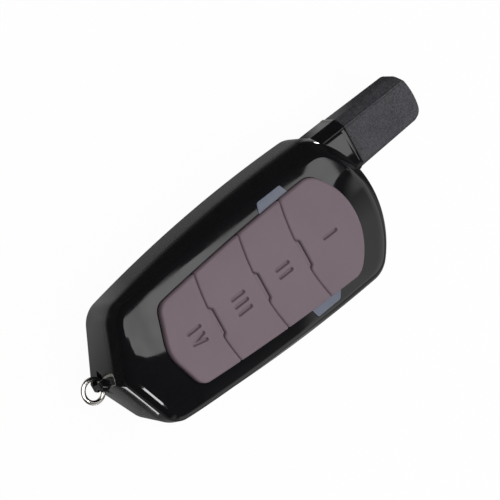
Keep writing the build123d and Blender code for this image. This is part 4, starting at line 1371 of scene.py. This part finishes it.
# Lights that the gloss shows. Shaped ones have corners as points of the picture, and a distance in
# millimetres. Narrow ones have a direction, a distance and a size in metres, a share of their brightness,
# and in millimetres the place that shows them.
SOFT_CORNERS = ((112, 327), (285, 186), (305, 172), (311, 158), (325, 152), (334, 158), (343, 172),
                (342, 188), (168, 350), (157, 355), (146, 358), (135, 355), (131, 347), (128, 338),
                (119, 334))
NECK_LIGHT_CORNERS = ((319, 147), (346, 127), (356, 149), (345, 157))
SOFT_DISTANCE, NECK_LIGHT_DISTANCE, FLAT_RADIUS = 110.0, 60.0, 1e6
BROAD_WAY, BROAD_DISTANCE, BROAD_SIZE = (0.297, 0.452, 0.841), 0.9, (0.8, 0.8)
ALONG_RIDGE = (0.929, 0.371, 0.0)
STREAK = ((0.52, -0.12, 0.84), 0.1, (0.014, 0.03), 1.0, (0.4, -37.2, 13.3))
RIM_STREAK = ((0.608, -0.328, -0.723), 0.011, (0.0095, 0.0005), 0.3, (5.6, -35.8, 10.0))
CORNER = ((-0.155, 0.904, -0.396), 0.02, (0.003, 0.0018), 1.0, (-15.9, 23.6, 11.0))
CORNER_SPREAD = 40                           # degrees
RING_WAY, RING_DISTANCE, RING_SIZE = (-0.35, -0.62, 0.7), 0.1, (0.22, 0.22)
MIRROR_STEPS = 12                            # tries that find where a crowned face lies in the picture
CLOUD_SCALE, CLOUD_SPAN, CLOUD_CHANGE = 40.0, (0.35, 0.65), 0.12       # faint clouds in the shaped lights


def mirrored_share(tree, path):
    """One where a glossy or transmission ray looks, and nought elsewhere."""
    return maths(tree, "MAXIMUM", path["Is Glossy Ray"], path["Is Transmission Ray"])


def seen_share(tree):
    """One where a camera, glossy or transmission ray looks, and nought elsewhere."""
    path = add_node(tree, "ShaderNodeLightPath")
    return maths(tree, "MAXIMUM", path["Is Camera Ray"], mirrored_share(tree, path))


def reach_along(tree, place, way):
    """How far a place or a direction reaches one way."""
    return add_node(tree, "ShaderNodeVectorMath", {0: place, 1: way}, operation="DOT_PRODUCT")["Value"]


def mirrored_floor(tree, place, studio):
    """The floor's white in reflections: beside the body on the left and at the neck, and on the right."""
    away = None
    for across, up, reach in OUTLINE_SIDES:
        for sign in (-1, 1):
            along = reach_along(tree, place, (across * sign, up, 0.0))
            distance = maths(tree, "SUBTRACT", along, reach * MM)
            away = maths(tree, "MAXIMUM", away, distance) if away else distance
    axes = add_node(tree, "ShaderNodeSeparateXYZ", {"Vector": place})
    left, neck = ([span(tree, axes[axis], *change) for axis, *change in changes]
                  for changes in (LEFT_CHANGES, NECK_CHANGES))
    beside_body = product(tree, span(tree, away, *FLOOR_FADE, studio.near_white, studio.far_white), *left)
    on_left = maths(tree, "MAXIMUM", beside_body, product(tree, *neck))
    return maths(tree, "MAXIMUM", on_left, span(tree, axes["X"], *FLOOR_RIGHT, 0.0, studio.right_white))


def make_floor(studio):
    """A plain pale floor that keeps a faint shadow."""
    half = studio.floor_size / MM / 2
    corners = [(x * half, y * half, -FLOOR_DROP) for x, y in SQUARE]
    floor = mesh_from("floor", corners, [(0, 1, 2, 3)])
    paint = bpy.data.materials.new("floor_paint")
    paint.use_nodes = True
    tree = paint.node_tree
    shader = tree.nodes["Principled BSDF"]
    matte = {"Base Color": (*studio.floor_colour, 1), "Roughness": 0.9, "Specular IOR Level": 0.0}
    for label, value in matte.items():
        shader.inputs[label].default_value = value
    place = add_node(tree, "ShaderNodeTexCoord")["Object"]
    camera = add_node(tree, "ShaderNodeLightPath")["Is Camera Ray"]
    white = add_node(tree, "ShaderNodeEmission", {
        "Strength": maths(tree, "MAXIMUM", camera, mirrored_floor(tree, place, studio))})
    mix = add_node(tree, "ShaderNodeMixShader", {
        "Fac": product(tree, seen_share(tree), studio.floor_white),
        1: shader.outputs["BSDF"], 2: white["Emission"]})
    tree.links.new(mix["Shader"], tree.nodes["Material Output"].inputs["Surface"])
    floor.data.materials.append(paint)


def make_room(studio):
    """A room that the camera sees white: a dark ceiling for reflections, an even grey for matte surfaces."""
    world = bpy.data.worlds.new("studio_room")
    bpy.context.scene.world = world
    world.use_nodes = True
    tree = world.node_tree
    path = add_node(tree, "ShaderNodeLightPath")
    way = add_node(tree, "ShaderNodeTexCoord")["Generated"]
    up = add_node(tree, "ShaderNodeSeparateXYZ", {"Vector": way})["Z"]
    glow = product(tree, span(tree, reach_along(tree, way, GLOW_WAY), *GLOW_EDGE, 0.0, studio.side_glow),
                   span(tree, up, *GLOW_TOP, 1.0, 0.0))
    ceiling = maths(tree, "MAXIMUM", glow, CEILING)
    seen = add_node(tree, "ShaderNodeMix", {
        "Factor": mirrored_share(tree, path), "A": studio.room, "B": ceiling})["Result"]
    behind = tree.nodes["Background"].inputs
    behind["Color"].default_value = (1, 1, 1, 1)
    feed(tree, behind["Strength"], add_node(tree, "ShaderNodeMix", {
        "Factor": path["Is Camera Ray"], "A": seen, "B": 1.0})["Result"])


def placed_at(turn, place):
    """A matrix from three axes and a place."""
    return Matrix.Translation(place) @ Matrix(turn).transposed().to_4x4()


def aimed_panel(name, way, distance, size, radiance, start=AIM, along_edge=None):
    """A rectangular light on one side of a place, turned to it, with one of its sides along an edge there.

    Its brightness is radiance, whatever its size.
    """
    towards = Vector(way).normalized()
    across = Vector(along_edge or (towards.y, -towards.x, 0.0))
    across = (across - towards * across.dot(towards)).normalized()
    data = bpy.data.lights.new(name, "AREA")
    data.shape, data.size, data.size_y = "RECTANGLE", size[0], size[1]
    data.energy = radiance * math.pi * size[0] * size[1]
    lamp = bpy.data.objects.new(name, data)
    bpy.context.scene.collection.objects.link(lamp)
    lamp.matrix_world = placed_at((across, towards.cross(across), towards), start + towards * distance)
    lamp.visible_camera = False
    return lamp


def narrow_light(name, given, brightness, along_edge=None):
    """A small light that only the gloss shows."""
    way, distance, size, share, place = given
    lamp = aimed_panel(name, way, distance, size, share * brightness, Vector(place) * MM, along_edge)
    lamp.visible_diffuse = False
    return lamp


def panel_mirror(across, down, top, crown):
    """Where a crowned face shows a point of the picture: its place, and the way a mirrored ray leaves it."""
    right, up = (across / PICTURE - 0.5) * PICTURE_WIDTH, (0.5 - down / PICTURE) * PICTURE_WIDTH
    start = AIM / MM + VIEW_RIGHT * right + VIEW_UP * up
    height = top
    for _ in range(MIRROR_STEPS):
        place = start - VIEW_BACK * ((start.z - height) / VIEW_BACK.z)
        nose = max(NOSE_START - place.y, 0.0)
        height = top - place.x ** 2 / (2 * crown) - nose ** 2 / (2 * NOSE_RADIUS)
    normal = Vector((place.x / crown, -nose / NOSE_RADIUS, 1.0)).normalized()
    return place, -VIEW_BACK + normal * (2 * VIEW_BACK.dot(normal))


def shaped_light(name, corners, distance, radiance, top, crown):
    """A light cut to the shape that a face shows in the picture, whose corners are picture points."""
    rays = [panel_mirror(*corner, top, crown) for corner in corners]
    middle = sum((ray for _, ray in rays), Vector()) / len(rays)
    level_at = distance + (AIM / MM).dot(middle)
    points = [place + ray * ((level_at - place.dot(middle)) / ray.dot(middle)) for place, ray in rays]
    lamp = mesh_from(name, points, [tuple(range(len(points)))])
    glow = bpy.data.materials.new(f"{name}_glow")
    glow.use_nodes = True
    tree = glow.node_tree
    tree.nodes.remove(tree.nodes["Principled BSDF"])
    cloud = noise(tree, add_node(tree, "ShaderNodeTexCoord")["Object"], CLOUD_SCALE, 2.0)
    low, high = (1 - CLOUD_CHANGE) * radiance, (1 + CLOUD_CHANGE) * radiance
    shine = add_node(tree, "ShaderNodeEmission", {"Strength": span(tree, cloud, *CLOUD_SPAN, low, high)})
    tree.links.new(shine["Emission"], tree.nodes["Material Output"].inputs["Surface"])
    lamp.data.materials.append(glow)
    lamp.visible_camera = lamp.visible_shadow = lamp.visible_diffuse = False


def make_lights(studio):
    """A broad light for the matte surfaces, lights that the gloss shows, and one for the ring alone."""
    broad = aimed_panel("broad_light", BROAD_WAY, BROAD_DISTANCE, BROAD_SIZE, studio.broad_light)
    broad.visible_glossy = False
    shaped_light("soft_light", SOFT_CORNERS, SOFT_DISTANCE, studio.soft_light, PANEL_TOP, CROWN_RADIUS)
    shaped_light("neck_light", NECK_LIGHT_CORNERS, NECK_LIGHT_DISTANCE, studio.soft_light,
                 NECK_MIDDLE + NECK_RISE, FLAT_RADIUS)
    narrow_light("streak_light", STREAK, studio.streak_light, ALONG_RIDGE)
    narrow_light("rim_streak_light", RIM_STREAK, studio.streak_light, ALONG_RIDGE)
    corner = narrow_light("corner_light", CORNER, studio.corner_light)
    corner.data.spread = math.radians(CORNER_SPREAD)
    low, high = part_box("key_ring")
    ring_light = aimed_panel("ring_light", RING_WAY, RING_DISTANCE, RING_SIZE, studio.ring_light,
                             (Vector(low) + Vector(high)) / 2)
    ring_only = bpy.data.collections.new("ring_only")
    ring_only.objects.link(bpy.data.objects["key_ring_wire"])
    ring_light.light_linking.receiver_collection = ring_only


def make_camera():
    """The camera, nearly square on to its target through a long lens."""
    data = bpy.data.cameras.new("view")
    data.lens, data.sensor_width = VIEW_LENS, VIEW_SENSOR
    data.clip_start, data.clip_end = VIEW_CLIP
    camera = bpy.data.objects.new("view", data)
    bpy.context.scene.collection.objects.link(camera)
    camera.matrix_world = placed_at((VIEW_RIGHT, VIEW_UP, VIEW_BACK), AIM + VIEW_BACK * VIEW_DISTANCE)
    bpy.context.scene.camera = camera


class REMOTE_PT_panel(bpy.types.Panel):
    """Sizes, colours and the steps that build the remote"""
    bl_label = "Handheld Remote"
    bl_idname = "REMOTE_PT_panel"
    bl_space_type = "VIEW_3D"
    bl_region_type = "UI"
    bl_category = "Remote"

    def draw(self, context):
        for title, group in zip(("Covers", "Keys", "Aerial", "Ring", "Studio"), settings_of(context)):
            box = self.layout.box()
            box.label(text=title)
            for name in group.__annotations__:
                box.prop(group, name)
        for step in STEPS:
            self.layout.operator(step.bl_idname)


GROUPS = {
    "remote_covers": CoverSettings, "remote_keys": KeySettings, "remote_aerial": AerialSettings,
    "remote_ring": RingSettings, "remote_studio": StudioSettings,
}
STEPS = (REMOTE_OT_finishes, REMOTE_OT_covers, REMOTE_OT_windows, REMOTE_OT_keys, REMOTE_OT_aerial,
         REMOTE_OT_ring, REMOTE_OT_screws, REMOTE_OT_inside, REMOTE_OT_stage)


def register():
    """Register every class and hang the settings on the scene."""
    for made in (*GROUPS.values(), *STEPS, REMOTE_PT_panel):
        bpy.utils.register_class(made)
    for name, group in GROUPS.items():
        setattr(bpy.types.Scene, name, bpy.props.PointerProperty(type=group))


def unregister():
    """Undo register."""
    for name in GROUPS:
        delattr(bpy.types.Scene, name)
    for made in reversed((*GROUPS.values(), *STEPS, REMOTE_PT_panel)):
        bpy.utils.unregister_class(made)


def main():
    """Build the whole remote and its stage."""
    register()
    bpy.ops.remote.finishes()
    bpy.ops.remote.covers()
    bpy.ops.remote.windows()
    bpy.ops.remote.keys()
    bpy.ops.remote.aerial()
    bpy.ops.remote.ring()
    bpy.ops.remote.screws()
    bpy.ops.remote.inside()
    bpy.ops.remote.stage()


if __name__ == "__main__":
    main()
